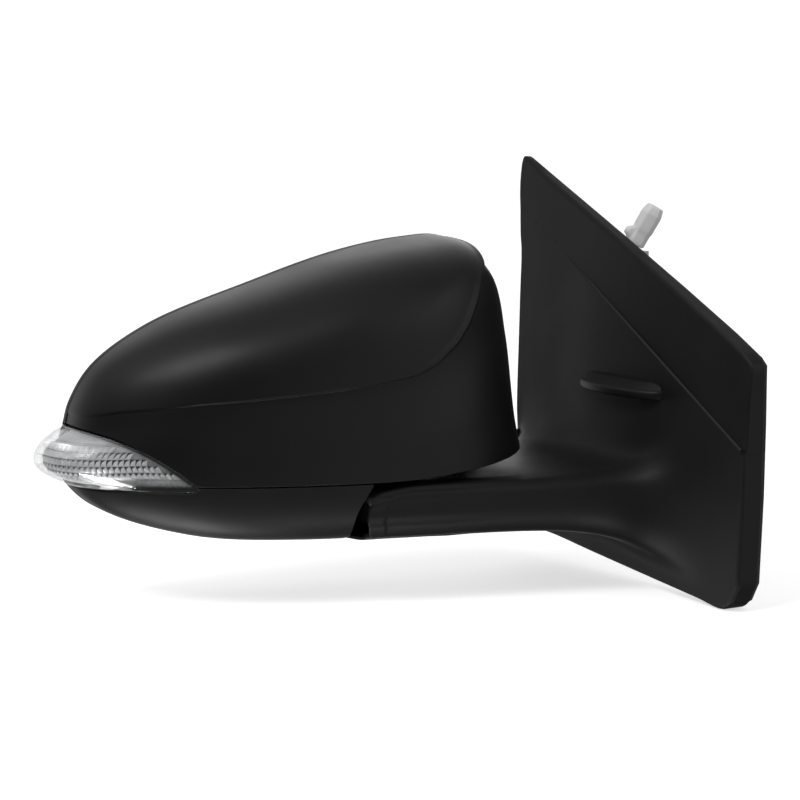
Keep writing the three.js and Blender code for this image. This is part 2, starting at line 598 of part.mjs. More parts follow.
function rearCase() {
  const { split, rear, wall } = ACTUATOR;
  const room = prism(actuatorOutline(wall), split - wall, rear - wall, "q");
  let body = prism(actuatorOutline(0), split + 0.2, rear, "q").subtract(room);
  body = body.add(barrel(11, rear - 1, 21, BALL.p, BALL.z)).add(barrel(6, 20, BALL.q - 6.2, BALL.p, BALL.z));
  for (const [p, z] of PLUNGERS)
    body = body.add(barrel(7, rear - 1, 20, p, z)).subtract(barrel(PLUNGER.radius + GAP, 0, 40, p, z));
  return body;
}

function pivotBall() {
  const ball = new THREE.SphereGeometry(5.2, 16, 10);
  ball.translate(BALL.p, BALL.q, BALL.z);
  return manifoldOf(ball).add(barrel(2.2, BALL.q - 5.8, BALL.q, BALL.p, BALL.z, 12));
}

// Motor can, lying along p beside the end of its worm.
function motorCan([p, z]) {
  const end = p - MOTOR.gap;
  const can = rod(MOTOR.radius, end - MOTOR.length, end, WORM.q, z + WORM_RISE, 20);
  return can.subtract(rod(1.4, end - MOTOR.length + 4, end + 2, WORM.q, z + WORM_RISE, 12));
}

// Motor shaft with its worm, along p over the wheel.
function worm([p, z]) {
  const axisZ = z + WORM_RISE;
  const body = rod(WORM.root, p - 8, p + WORM.length / 2, WORM.q, axisZ, 12);
  const shaft = rod(1, p - 30, p - 7, WORM.q, axisZ, 10).add(body);
  const section = [[-0.5, -0.6], [0.9, -0.25], [0.9, 0.25], [-0.5, 0.6]];
  const thread = new THREE.Shape(section.map(([a, b]) => new THREE.Vector2(a, b)));
  const path = new Coil(WORM.root, -WORM.length / 2, WORM.length / 2 - 1, WORM.length / WORM.lead);
  const geometry = new THREE.ExtrudeGeometry(thread, { steps: 26, bevelEnabled: false, extrudePath: path });
  geometry.rotateY(Math.PI / 2).translate(p, WORM.q, axisZ);
  return shaft.add(manifoldOf(geometry));
}

function driveWheel([p, z]) {
  const outline = [];
  for (let i = 0; i < WHEEL.teeth; i++)
    for (const [radius, turn] of [[WHEEL.root, -0.3], [WHEEL.tip, -0.14], [WHEEL.tip, 0.14], [WHEEL.root, 0.3]]) {
      const angle = ((i + turn) * 2 * Math.PI) / WHEEL.teeth;
      outline.push([p + radius * Math.cos(angle), z + radius * Math.sin(angle)]);
    }
  return prism(outline, WHEEL.low, WHEEL.high, "q").subtract(barrel(3.5, 0, 20, p, z, 20));
}

function plunger([p, z]) {
  const ball = new THREE.SphereGeometry(PLUNGER.ball, 12, 8);
  ball.translate(p, BALL.q, z);
  return barrel(PLUNGER.radius, -1, BALL.q - 2, p, z, 12).add(manifoldOf(ball));
}

// Ring between the ball and the carrier: two pins to each, at right angles.
function gimbalRing() {
  const { p, q, z } = BALL;
  const { outer, inner, pin } = RING;
  const ring = barrel(outer, q - 2, q + 2, p, z, 28).subtract(barrel(inner, 0, 60, p, z, 24));
  const across = rod(pin, p + 9.5, p + 14, q, z, 10).add(rod(pin, p - 14, p - 9.5, q, z, 10));
  const upright = cylinder(pin, z + 5.6, z + 8.5, p, q, 10).add(cylinder(pin, z - 8.5, z - 5.6, p, q, 10));
  return ring.add(across).add(upright);
}

// The glass and what backs it: the rim outline drawn in by inset.
function glassOutline(inset) {
  const [cp, cz] = HEAD_CENTRE;
  return closedCurve(RIM_OUTLINE, 40).map(([op, oz]) => {
    const scale = 1 - inset / Math.hypot(op - cp, oz - cz);
    return [cp + (op - cp) * scale, cz + (oz - cz) * scale];
  });
}

const plate = (inset, low, high) => prism(glassOutline(inset), low, high, "q");
const GLASS = { inset: 16.5, thick: 2.2 };
const CARRIER = { inset: 15, lip: 1.2, deep: 6 };

function glassCarrier() {
  const { p, q, z } = BALL;
  const back = GLASS_Q - CARRIER.deep;
  const cup = (cp, cz, outer, inner, reach) =>
    barrel(outer, q - reach, back + 1, cp, cz, 24).subtract(barrel(inner, 0, back - 0.2, cp, cz, 24));
  const pocket = plate(CARRIER.inset + CARRIER.lip, GLASS_Q - 3.2, GLASS_Q + 1);
  let solid = plate(CARRIER.inset, back, GLASS_Q - 0.3).subtract(pocket);
  solid = solid.add(cup(p, z, 16, 12.6, 4.5));
  for (const [cp, cz] of PLUNGERS) solid = solid.add(cup(cp, cz, 7.4, 5.4, 3.5));
  return solid.subtract(rod(1.7, p - 15, p + 15, q, z, 10)).subtract(barrel(12.6, 0, back - 0.2, p, z, 24));
}

const heaterPad = () => plate(GLASS.inset + 1.5, GLASS_Q - 3, GLASS_Q - 2.6);
const mirrorGlass = () => plate(GLASS.inset, GLASS_Q - GLASS.thick, GLASS_Q);

// ---------------------------------------------------------------- assembly
const mirror = new THREE.Group();
const head = new THREE.Group();
head.position.set(FOLD_AXIS_X, 0, 0);
head.rotation.z = HEAD_TURN;
mirror.add(head);

function put(group, name, solid, look, place) {
  const mesh = new THREE.Mesh(geometryOf(solid), look);
  mesh.name = name;
  if (place) place(mesh);
  group.add(mesh);
}

put(mirror, "sail_cover", sailCover(), TEXTURED);
const underCover = prism(shrink(UNDER_COVER, GAP), ARM_BOTTOM_Z + GAP, ARM_BOTTOM_Z + GAP + 2, "z");
put(mirror, "arm_under_cover", underCover, TEXTURED);
put(mirror, "base_bracket", baseBracket(), CAST);
put(mirror, "door_gasket", gasket(), FOAM);
STUDS.forEach(([y, z], i) =>
  put(mirror, `mounting_stud_${i + 1}`, stud(), STEEL, (mesh) => mesh.position.set(0, y, z)),
);
put(mirror, "wiring_grommet", grommet(), RUBBER, (mesh) => mesh.position.set(0, GROMMET.y, GROMMET.z));
put(mirror, "locating_clip", locatingClip(), NYLON, (mesh) => {
  mesh.position.set(...CLIP.at);
  mesh.quaternion.setFromUnitVectors(new THREE.Vector3(0, 0, 1), new THREE.Vector3(...CLIP.along).normalize());
});
const onAxis = (mesh) => mesh.position.set(FOLD_AXIS_X, 0, 0);
put(mirror, "pivot_post", pivotPost(), STEEL, onAxis);
put(mirror, "lower_detent_ring", detentRing(ARM_TOP_Z, -13.6, 1), STEEL, onAxis);
put(mirror, "fold_spring", foldSpring(), STEEL, onAxis);
put(mirror, "spring_cup", springCup(), STEEL, onAxis);
put(mirror, "post_nut", postNut(), STEEL, onAxis);

put(head, "cap_cover", capCover(), PRIMER);
put(head, "lower_cover", lowerCover(), TEXTURED);
put(head, "rear_housing", rearHousing(), TEXTURED);
put(head, "head_frame", headFrame(), GLASSFILLED);
put(head, "upper_detent_ring", detentRing(-12.4, HUB.low - GAP, -1), STEEL);
put(head, "lamp_lens", lampLayer(LENS, 110), CLEAR);
put(head, "lamp_optic", lampLayer(OPTIC), REFLECTOR);
put(head, "lamp_housing", lampHousing(), GLASSFILLED);
put(head, "lamp_bulb_holder", bulbHolder(), NYLON);
put(head, "actuator_front_case", frontCase(), GLASSFILLED);
put(head, "actuator_rear_case", rearCase(), GLASSFILLED);
put(head, "pivot_ball", pivotBall(), ACETAL);
["yaw", "pitch"].forEach((name, i) => {
  put(head, `${name}_motor`, motorCan(PLUNGERS[i]), STEEL);
  put(head, `${name}_worm`, worm(PLUNGERS[i]), STEEL);
  put(head, `${name}_drive_wheel`, driveWheel(PLUNGERS[i]), ACETAL);
  put(head, `${name}_plunger`, plunger(PLUNGERS[i]), ACETAL);
});
put(head, "tilt_ring", gimbalRing(), ACETAL);
put(head, "glass_carrier", glassCarrier(), TEXTURED);
put(head, "heater_pad", heaterPad(), HEATER);
put(head, "mirror_glass", mirrorGlass(), MIRROR);

export default mirror;
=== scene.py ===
import math

import bpy
import numpy as np
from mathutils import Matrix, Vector


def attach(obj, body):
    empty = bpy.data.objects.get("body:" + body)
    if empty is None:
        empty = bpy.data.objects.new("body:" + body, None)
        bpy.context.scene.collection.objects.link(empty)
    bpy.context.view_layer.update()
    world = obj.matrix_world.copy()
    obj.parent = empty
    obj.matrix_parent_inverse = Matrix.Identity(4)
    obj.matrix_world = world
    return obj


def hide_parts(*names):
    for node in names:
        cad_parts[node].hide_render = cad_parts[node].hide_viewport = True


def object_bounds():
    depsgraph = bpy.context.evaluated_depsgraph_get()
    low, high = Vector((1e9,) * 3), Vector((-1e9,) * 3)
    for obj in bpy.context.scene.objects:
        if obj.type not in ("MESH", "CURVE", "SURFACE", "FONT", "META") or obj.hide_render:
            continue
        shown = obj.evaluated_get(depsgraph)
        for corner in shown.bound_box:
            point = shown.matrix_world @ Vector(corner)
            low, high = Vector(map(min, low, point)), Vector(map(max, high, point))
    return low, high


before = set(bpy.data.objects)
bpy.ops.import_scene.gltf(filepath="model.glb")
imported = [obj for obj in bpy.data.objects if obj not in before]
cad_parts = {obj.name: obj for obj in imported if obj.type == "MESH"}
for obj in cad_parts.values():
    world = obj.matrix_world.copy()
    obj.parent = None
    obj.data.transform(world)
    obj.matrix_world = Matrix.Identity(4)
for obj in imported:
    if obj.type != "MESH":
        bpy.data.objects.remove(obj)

cad_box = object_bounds()

# ------------------------------------------------------------------ driving dimensions, mm
TURN = math.radians(8)  # the glass plane is turned towards the driver
FOLD_AXIS = np.array([-115.0, 0.0, 0.0])
RIM_Q = 52.0
FACE_Q = -37.0
FACE_P = 5.0
SWEEP_OUT = 0.0016
SWEEP_IN = 0.002
ROUND_TOP = 3.2
ROUND_BOTTOM = 6.5
SEAM_Z = -13.6
CAP_REAR_Q = 45.0
HEAD_CENTRE = (-50.0, 28.0)
HEAD_TOP = [
    (-160, 12), (-157, 22), (-146, 38.5), (-118, 57), (-64, 76), (-20, 89),
    (16, 95), (39, 94.5), (52.5, 81.5), (57, 50), (59.5, 10),
]
HEAD_OUTLINE = HEAD_TOP + [
    (63, -20), (57, -39), (20, -44), (-60, -45), (-112, -41), (-150, -27), (-164, -8),
]
RIM_OUTLINE = HEAD_TOP + [
    (60, -6), (55.5, -13.4), (28, -14), (0, -14), (-19, -15.5), (-30, -23), (-38, -34),
    (-54, -42.5), (-80, -44.5), (-112, -41), (-150, -27), (-164, -8),
]
LAMP_TIP_P = -113.0
LAMP_OUTER_P = -165.0
LAMP_TOP_Z = 12.0
LAMP_BOTTOM_Z = -16.5
LAMP_REAR_Q = 49.0
LAMP_BULGE = 14.0

ARM_TOP_Z = -15.6
ARM_EDGE_Z = -17.5
ARM_BOTTOM_Z = -43.4
ARM_END_FALL = 4.2  # the upper front edge drops by this at the arm's end
ARM_END = [
    (38, -60), (41, -44), (46.5, -38.5), (49.2, -33), (49.8, -27), (48.2, -20), (46.8, -15), (46.8, -14),
]
FACE_X_LOW = -11.0
FACE_LEAN = 7 / 130
SAIL_TOP = [
    (62, -12), (63, 40), (64.5, 88), (66.5, 98), (67.5, 124), (65.5, 131), (-17, 96.5), (-68, 74.4),
    (-108, 56.5), (-127, 47), (-131.3, 43), (-131.3, 15), (-130.5, -20),
]
SAIL_FRONT = [(-130.5, -20), (-129, -45), (-128, -62)]
SAIL_BOTTOM = [(-122.5, -71.5), (-116, -75), (-60, -69.5), (0, -63.5), (52, -58.5)]
SAIL_REAR = [(60.5, -52), (61.5, -30)]
COUNTS = (22, 7, 10, 4)  # steps of the sail's outline along its top, front, bottom and rear

# Crease across the cap's face, (p, z): what lies below and inboard of it is sunk.
CREASE = [
    (-172, 15.5), (-160, 17), (-144.5, 21.4), (-113, 25.8), (-78, 28.8), (-56, 30.9), (-33, 33.5),
    (-12, 36.8), (0, 41.8), (11, 50.3), (18, 58.4), (25, 69.6), (30, 78), (38, 86), (44, 96), (50, 110),
]
# Step across the sail's face, (Y, z): the side towards the arm stands proud.
SAIL_STEP = [(30, 87.5), (-127.5, 3.4)]
END_BAND = 4.9  # width of the raised band round the arm's end
MEAN_POWER = 4.2  # how square the shoulder is on average, for spacing its rows
QUARTER = math.pi / 2
COVER_WALL = 2.4
OPTIC_REAR_Q = 36.0


# ------------------------------------------------------------------ small helpers
def smooth(t):
    c = np.clip(t, 0.0, 1.0)
    return c * c * (3 - 2 * c)


def curve_between(p0, p1, p2, p3, w):
    """The point w of the way from p1 to p2 on a centripetal Catmull-Rom curve through all four."""

    def gap(a, b):
        return np.maximum(np.linalg.norm(b - a, axis=-1, keepdims=True) ** 0.5, 1e-4)

    d0, d1, d2 = gap(p0, p1), gap(p1, p2), gap(p2, p3)
    t1 = ((p1 - p0) / d0 - (p2 - p0) / (d0 + d1) + (p2 - p1) / d1) * d1
    t2 = ((p2 - p1) / d1 - (p3 - p1) / (d1 + d2) + (p3 - p2) / d2) * d1
    return p1 + t1 * w + (3 * (p2 - p1) - 2 * t1 - t2) * w**2 + (2 * (p1 - p2) + t1 + t2) * w**3


def closed_curve(points, u):
    """Points of a closed curve at u, one turn being 1."""
    pts = np.asarray(points, float)
    count = len(pts)
    at = (np.asarray(u, float) % 1.0) * count
    first = np.floor(at).astype(int) % count
    w = (at - np.floor(at))[..., None]
    return curve_between(*(pts[(first + step) % count] for step in (-1, 0, 1, 2)), w)


def open_curve(points, steps):
    """A smooth line through points, straight past its ends."""
    pts = np.asarray(points, float)
    first, last = 2 * pts[0] - pts[1], 2 * pts[-1] - pts[-2]
    ring = np.vstack([first, pts, last])
    count = len(ring)
    u = (1 + np.linspace(0, len(pts) - 1, steps)) / count
    return closed_curve(ring, np.minimum(u, (count - 2) / count - 1e-9))


def line_distance(points, a, b):
    """Distance of (a, b) from a line of points, positive on its right-hand side."""
    pts = np.asarray(points, float)
    best = np.full(a.shape, 1e9)
    signed = np.zeros(a.shape)
    for (a0, b0), (a1, b1) in zip(pts[:-1], pts[1:]):
        da, db = a1 - a0, b1 - b0
        t = np.clip(((a - a0) * da + (b - b0) * db) / (da * da + db * db), 0, 1)
        ra, rb = a - a0 - t * da, b - b0 - t * db
        reach = np.hypot(ra, rb)
        side = np.sign(db * ra - da * rb)
        nearer = reach < best
        best = np.where(nearer, reach, best)
        signed = np.where(nearer, reach * side, signed)
    return signed


ARM_END_FINE = open_curve(ARM_END, 120)


def unit(v):
    return v / np.maximum(np.linalg.norm(v, axis=-1, keepdims=True), 1e-12)


def face_normals(corner):
    """Unscaled normals of triangles given as (n, 3 corners, xyz)."""
    return np.cross(corner[:, 1] - corner[:, 0], corner[:, 2] - corner[:, 0])


def head_to_row(v):
    """Turns directions from the head's frame into the row frame."""
    along = np.array([math.cos(TURN), -math.sin(TURN), 0.0])
    back = np.array([math.sin(TURN), math.cos(TURN), 0.0])
    return v[:, 0:1] * along + v[:, 1:2] * back + v[:, 2:3] * np.array([0.0, 0.0, 1.0])


# ------------------------------------------------------------------ patches of parametric surface
class Patch:
    """Triangles over the surface place(u, v). `outward(points)` tells roughly which way is out."""

    def __init__(self, place, us, vs, outward, closed=False):
        self.place = place
        self.closed = closed
        self.low, self.high = min(vs), max(vs)
        nu, nv = len(us), len(vs)
        self.u, self.v = (m.ravel() for m in np.meshgrid(us, vs, indexing="ij"))
        i, j = np.meshgrid(np.arange(nu if closed else nu - 1), np.arange(nv - 1), indexing="ij")
        a = (i * nv + j).ravel()
        b = (((i + 1) % nu) * nv + j).ravel()
        self.tri = np.concatenate([np.stack([a, b, b + 1], 1), np.stack([a, b + 1, a + 1], 1)])
        pts = self.points()
        corner = pts[self.tri]
        solid = np.linalg.norm(face_normals(corner), axis=1) > 1e-9
        self.tri, corner = self.tri[solid], corner[solid]
        if (face_normals(corner) * outward(corner.mean(1))).sum(1).mean() < 0:
            self.tri = self.tri[:, ::-1]
        self.sign = 1.0
        self.sign = np.sign((self.normals() * outward(pts)).sum(1).mean())

    def points(self):
        return self.place(self.u, self.v)

    def normals(self, step=2e-4):
        du = self.place(self.u + step, self.v) - self.place(self.u - step, self.v)
        above, under = np.minimum(self.v + step, self.high), np.maximum(self.v - step, self.low)
        dv = self.place(self.u, above) - self.place(self.u, under)
        return self.sign * unit(np.cross(unit(du), unit(dv)))

    def between(self, a, b, t):
        du = self.u[b] - self.u[a]
        if self.closed:
            du = (du + 0.5) % 1.0 - 0.5
        return self.u[a] + du * t, self.v[a] + (self.v[b] - self.v[a]) * t

    def cut(self, level, both=False):
        """Cuts the triangles where level(points) is 0; drops the positive side unless both are kept."""
        out = level(self.points()) > 0
        flags = out[self.tri]
        count = flags.sum(1)
        kept = [self.tri[count == 0]]
        if both:
            kept.append(self.tri[count == 3])
        mixed = (count == 1) | (count == 2)
        tri, flags = self.tri[mixed], flags[mixed]
        if len(tri):
            alone_out = flags.sum(1) == 1
            lone = np.where(alone_out, flags.argmax(1), flags.argmin(1))
            rows = np.arange(len(tri))
            a, b, c = (tri[rows, (lone + k) % 3] for k in range(3))
            pairs = np.sort(np.concatenate([np.stack([a, b], 1), np.stack([a, c], 1)]), axis=1)
            edges, where = np.unique(pairs, axis=0, return_inverse=True)
            where = where.ravel()
            low, high = np.zeros(len(edges)), np.ones(len(edges))
            for _ in range(26):
                middle = (low + high) / 2
                u, v = self.between(edges[:, 0], edges[:, 1], middle)
                same = (level(self.place(u, v)) > 0) == out[edges[:, 0]]
                low, high = np.where(same, middle, low), np.where(same, high, middle)
            u, v = self.between(edges[:, 0], edges[:, 1], (low + high) / 2)
            e, g = (len(self.u) + part for part in np.split(where, 2))
            self.u, self.v = np.concatenate([self.u, u]), np.concatenate([self.v, v])
            small = np.stack([a, e, g], 1)
            first, second = np.stack([e, b, c], 1), np.stack([e, c, g], 1)
            kept += [first[alone_out], second[alone_out], small[~alone_out]]
            if both:
                kept += [small[alone_out], first[~alone_out], second[~alone_out]]
        self.tri = np.concatenate(kept)
        used, self.tri = np.unique(self.tri, return_inverse=True)
        self.tri = self.tri.reshape(-1, 3)
        self.u, self.v = self.u[used], self.v[used]
        return self


def moved(place, amount, outward, span=(0.0, 1e9)):
    """The surface place, moved out along its normal by amount(points)."""

    def placed(u, v):
        h = 2e-4
        pts = place(u, v)
        du = place(u + h, v) - place(u - h, v)
        dv = place(u, np.minimum(v + h, span[1])) - place(u, np.maximum(v - h, span[0]))
        n = unit(np.cross(unit(du), unit(dv)))
        n *= np.sign((n * outward(pts)).sum(-1, keepdims=True))
        return pts + n * amount(pts)[..., None]

    return placed


class Body:
    """Collects points, faces and their corner normals for one mesh."""

    def __init__(self):
        self.points, self.faces, self.normals, self.looks = [], [], [], []
        self.count = 0

    def add(self, points, faces, normals, look=0):
        """normals is one per point, or one per corner of each face."""
        faces = np.asarray(faces)
        normals = np.asarray(normals)
        per_corner = normals if normals.ndim == 3 else normals[faces]
        self.points.append(np.asarray(points))
        self.faces += (faces + self.count).tolist()
        self.normals.append(per_corner.reshape(-1, 3))
        self.looks += [look] * len(faces)
        self.count += len(points)

    def shell(self, patch, thickness, rim=0.6, steps=4, look=0, inner=True):
        """Closes a patch into a wall: its face, a rolled rim all round it, and its inner face."""
        pts, nrm, tri = patch.points(), patch.normals(), patch.tri
        half = np.concatenate([tri[:, [0, 1]], tri[:, [1, 2]], tri[:, [2, 0]]])
        size = len(pts)
        lonely = ~np.isin(half[:, 0] * size + half[:, 1], half[:, 1] * size + half[:, 0])
        edges = half[lonely]
        a, b = edges[:, 0], edges[:, 1]
        side = unit(np.cross(pts[b] - pts[a], nrm[a] + nrm[b]))
        out = np.zeros_like(pts)
        np.add.at(out, a, side)
        np.add.at(out, b, side)
        out -= nrm * (out * nrm).sum(1, keepdims=True)
        out = unit(out)
        lean = np.ones(size)
        np.minimum.at(lean, a, (out[a] * side).sum(1))
        np.minimum.at(lean, b, (out[b] * side).sum(1))
        reach = (rim / np.clip(lean, 0.6, 1))[:, None]
        edge, index = np.unique(edges, return_inverse=True)
        index = index.reshape(-1, 2)
        n, t, r = nrm[edge], out[edge], reach[edge]
        rows, ways = [pts[edge]], [n]
        for k in range(1, steps + 1):
            angle = k * math.pi / 2 / steps
            rows.append(pts[edge] + t * r * math.sin(angle) - n * rim * (1 - math.cos(angle)))
            ways.append(unit(n * math.cos(angle) + t * math.sin(angle)))
        self.add(pts, tri, nrm, look)
        last = len(edge)
        ring = np.concatenate(rows)
        way = np.concatenate(ways)
        quads = [
            np.stack([index[:, 1] + k * last, index[:, 0] + k * last,
                      index[:, 0] + (k + 1) * last, index[:, 1] + (k + 1) * last], 1)
            for k in range(steps)
        ]
        self.add(ring, np.concatenate(quads), way, look)
        if not inner:
            return self
        end = rows[-1] - n * (thickness - rim)
        foot = pts[edge] - n * thickness
        wall = np.concatenate([rows[-1], end])
        quad = np.stack([index[:, 1], index[:, 0], index[:, 0] + last, index[:, 1] + last], 1)
        self.add(wall, quad, np.concatenate([t, t]), look)
        self.add(np.concatenate([end, foot]), quad, np.concatenate([-n, -n]), look)
        self.add(pts - nrm * thickness, tri[:, ::-1], -nrm, look)
        return self

    def loft(self, rings, closed=False):
        """A skin over equal rings of points (rings, count, 3); normals come from the skin itself."""
        rings = np.asarray(rings, float)
        rows, count = rings.shape[:2]
        nxt = np.roll(rings, -1, axis=1) - np.roll(rings, 1, axis=1)
        if closed:
            run = np.roll(rings, -1, axis=0) - np.roll(rings, 1, axis=0)
        else:
            run = np.gradient(rings, axis=0)
        normal = unit(np.cross(nxt, run)).reshape(-1, 3)
        i, j = np.meshgrid(np.arange(rows if closed else rows - 1), np.arange(count), indexing="ij")
        i, j = i.ravel(), j.ravel()
        k, m = (i + 1) % rows, (j + 1) % count
        quads = np.stack([i * count + j, i * count + m, k * count + m, k * count + j], 1)
        self.add(rings.reshape(-1, 3), quads, normal)
        return self

    def fan(self, ring, middle, way):
        """Fills a ring of points with triangles to its middle, facing way."""
        count = len(ring)
        points = np.vstack([ring, middle])
        i = np.arange(count)
        tri = np.stack([i, (i + 1) % count, np.full(count, count)], 1)
        if (face_normals(points[tri]) @ way).mean() < 0:
            tri = tri[:, ::-1]
        self.add(points, tri, np.tile(way, (count + 1, 1)))

    def make(self, name, body, look, nodes=(), slot=None, head=True):
        """Makes the Blender object, and lets it ride on its body."""
        points, normals = np.concatenate(self.points), np.concatenate(self.normals)
        if head:
            points, normals = head_to_row(points) + FOLD_AXIS, head_to_row(normals)
        mesh = bpy.data.meshes.new(name)
        mesh.from_pydata((points / 1000).tolist(), [], self.faces)
        mesh.polygons.foreach_set("use_smooth", [True] * len(self.faces))
        for material in look if isinstance(look, (list, tuple)) else [look]:
            mesh.materials.append(material)
        mesh.polygons.foreach_set("material_index", self.looks)
        mesh.normals_split_custom_set(normals.tolist())
        mesh.update()
        obj = bpy.data.objects.new(name, mesh)
        bpy.context.scene.collection.objects.link(obj)
        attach(obj, body)
        if nodes:
            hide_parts(*nodes)
        return obj


# ------------------------------------------------------------------ materials
def nodes_of(name):
    material = bpy.data.materials.new(name)
    material.use_nodes = True
    tree = material.node_tree
    tree.nodes.clear()
    shader = tree.nodes.new("ShaderNodeBsdfPrincipled")
    output = tree.nodes.new("ShaderNodeOutputMaterial")
    tree.links.new(shader.outputs[0], output.inputs["Surface"])
    return material, tree, shader


def noise(tree, scale, detail=3.0, roughness=0.5, stretch=None):
    coords = tree.nodes.new("ShaderNodeTexCoord")
    texture = tree.nodes.new("ShaderNodeTexNoise")
    texture.inputs["Scale"].default_value = scale
    texture.inputs["Detail"].default_value = detail
    texture.inputs["Roughness"].default_value = roughness
    source = coords.outputs["Object"]
    if stretch:
        mapping = tree.nodes.new("ShaderNodeMapping")
        mapping.inputs["Scale"].default_value = stretch
        tree.links.new(source, mapping.inputs["Vector"])
        source = mapping.outputs["Vector"]
    tree.links.new(source, texture.inputs["Vector"])
    return texture.outputs["Fac"]


def ramp(tree, source, low, high, from_low=0.3, from_high=0.7):
    """Maps a value onto low..high."""
    node = tree.nodes.new("ShaderNodeMapRange")
    node.inputs["From Min"].default_value = from_low
    node.inputs["From Max"].default_value = from_high
    node.inputs["To Min"].default_value = low
    node.inputs["To Max"].default_value = high
    tree.links.new(source, node.inputs["Value"])
    return node.outputs["Result"]


def tint(tree, shader, source, dark, light):
    """Base colour that runs from dark to light with the source."""
    node = tree.nodes.new("ShaderNodeMix")
    node.data_type = "RGBA"
    node.inputs["A"].default_value = (*dark, 1)
    node.inputs["B"].default_value = (*light, 1)
    tree.links.new(source, node.inputs["Factor"])
    tree.links.new(node.outputs["Result"], shader.inputs["Base Color"])


def roughen(tree, shader, source, low, high):
    tree.links.new(ramp(tree, source, low, high), shader.inputs["Roughness"])


def bump(tree, shader, source, distance, strength=1.0, under=None):
    node = tree.nodes.new("ShaderNodeBump")
    node.inputs["Strength"].default_value = strength
    node.inputs["Distance"].default_value = distance
    tree.links.new(source, node.inputs["Height"])
    if under:
        tree.links.new(under, node.inputs["Normal"])
    tree.links.new(node.outputs["Normal"], shader.inputs["Normal"])
    return node.outputs["Normal"]


def surface_nodes(name, dark, light, rough, grain, depth, metal=0.0, patch=45.0, specular=0.5, stretch=None):
    """A surface with uneven colour and roughness, and a fine grain of `depth` metres."""
    material, tree, shader = nodes_of(name)
    broad = noise(tree, patch, 4)
    fine = noise(tree, grain, 2, 0.6, stretch)
    tint(tree, shader, ramp(tree, broad, 0, 1), dark, light)
    both = tree.nodes.new("ShaderNodeMath")
    both.operation = "ADD"
    tree.links.new(ramp(tree, broad, -0.04, 0.04), both.inputs[0])
    tree.links.new(ramp(tree, fine, rough - 0.04, rough + 0.04), both.inputs[1])
    tree.links.new(both.outputs[0], shader.inputs["Roughness"])
    shader.inputs["Metallic"].default_value = metal
    shader.inputs["Specular IOR Level"].default_value = specular
    bump(tree, shader, fine, depth, 0.5)
    return material, tree, shader


def surface(*args, **options):
    return surface_nodes(*args, **options)[0]


def grained_plastic(name, dark, light, rough):
    """Moulded plastic with a leathery grain about a third of a millimetre across."""
    material, tree, shader = surface_nodes(name, dark, light, rough, 2600, 2e-5, specular=0.25)
    coords = tree.nodes.new("ShaderNodeTexCoord")
    cells = tree.nodes.new("ShaderNodeTexVoronoi")
    cells.inputs["Scale"].default_value = 2200
    tree.links.new(coords.outputs["Object"], cells.inputs["Vector"])
    first = shader.inputs["Normal"].links[0].from_socket
    bump(tree, shader, cells.outputs["Distance"], 3e-5, 0.45, under=first)
    return material


def satin_paint():
    """Primer ready for painting: satin, with a faint orange peel and hardly any colour change."""
    material, tree, shader = surface_nodes(
        "satin_primer", (0.0050,) * 3, (0.0062,) * 3, 0.46, 5200, 6e-6, patch=22, specular=0.3)
    shader.inputs["Sheen Weight"].default_value = 0.10
    shader.inputs["Sheen Roughness"].default_value = 0.25
    peel = noise(tree, 420, 2)
    first = shader.inputs["Normal"].links[0].from_socket
    bump(tree, shader, peel, 4e-5, 0.10, under=first)
    return material


def clear_plastic():
    material, tree, shader = nodes_of("clear_polycarbonate")
    shader.inputs["Base Color"].default_value = (0.93, 0.945, 0.95, 1)
    shader.inputs["Transmission Weight"].default_value = 0.94
    shader.inputs["IOR"].default_value = 1.5
    shader.inputs["Alpha"].default_value = 0.3
    roughen(tree, shader, noise(tree, 300, 3), 0.015, 0.05)
    bump(tree, shader, noise(tree, 90, 2), 5e-5, 0.08)
    return material


def translucent_nylon():
    material, tree, shader = nodes_of("natural_nylon")
    fine = noise(tree, 1800, 3)
    tint(tree, shader, noise(tree, 160, 3), (0.78, 0.79, 0.78), (0.9, 0.91, 0.9))
    roughen(tree, shader, fine, 0.3, 0.45)
    shader.inputs["Subsurface Weight"].default_value = 0.3
    shader.inputs["Subsurface Radius"].default_value = (0.004, 0.004, 0.004)
    shader.inputs["Subsurface Scale"].default_value = 0.5
    bump(tree, shader, fine, 2e-5, 0.4)
    return material


def silvered_glass():
    material, tree, shader = nodes_of("silvered_glass")
    tint(tree, shader, noise(tree, 30, 2), (0.80, 0.83, 0.85), (0.84, 0.87, 0.89))
    shader.inputs["Metallic"].default_value = 1.0
    roughen(tree, shader, noise(tree, 60, 4), 0.02, 0.06)
    return material


def heater_foil():
    """Amber film with the printed track showing through as a fine meander."""
    material, tree, shader = nodes_of("heater_film")
    coords = tree.nodes.new("ShaderNodeTexCoord")
    track = tree.nodes.new("ShaderNodeTexWave")
    track.bands_direction = "Z"
    track.inputs["Scale"].default_value = 60
    tree.links.new(coords.outputs["Object"], track.inputs["Vector"])
    tint(tree, shader, track.outputs["Fac"], (0.5, 0.22, 0.05), (0.62, 0.34, 0.1))
    roughen(tree, shader, noise(tree, 500), 0.35, 0.55)
    bump(tree, shader, track.outputs["Fac"], 5e-5, 0.5)
    return material


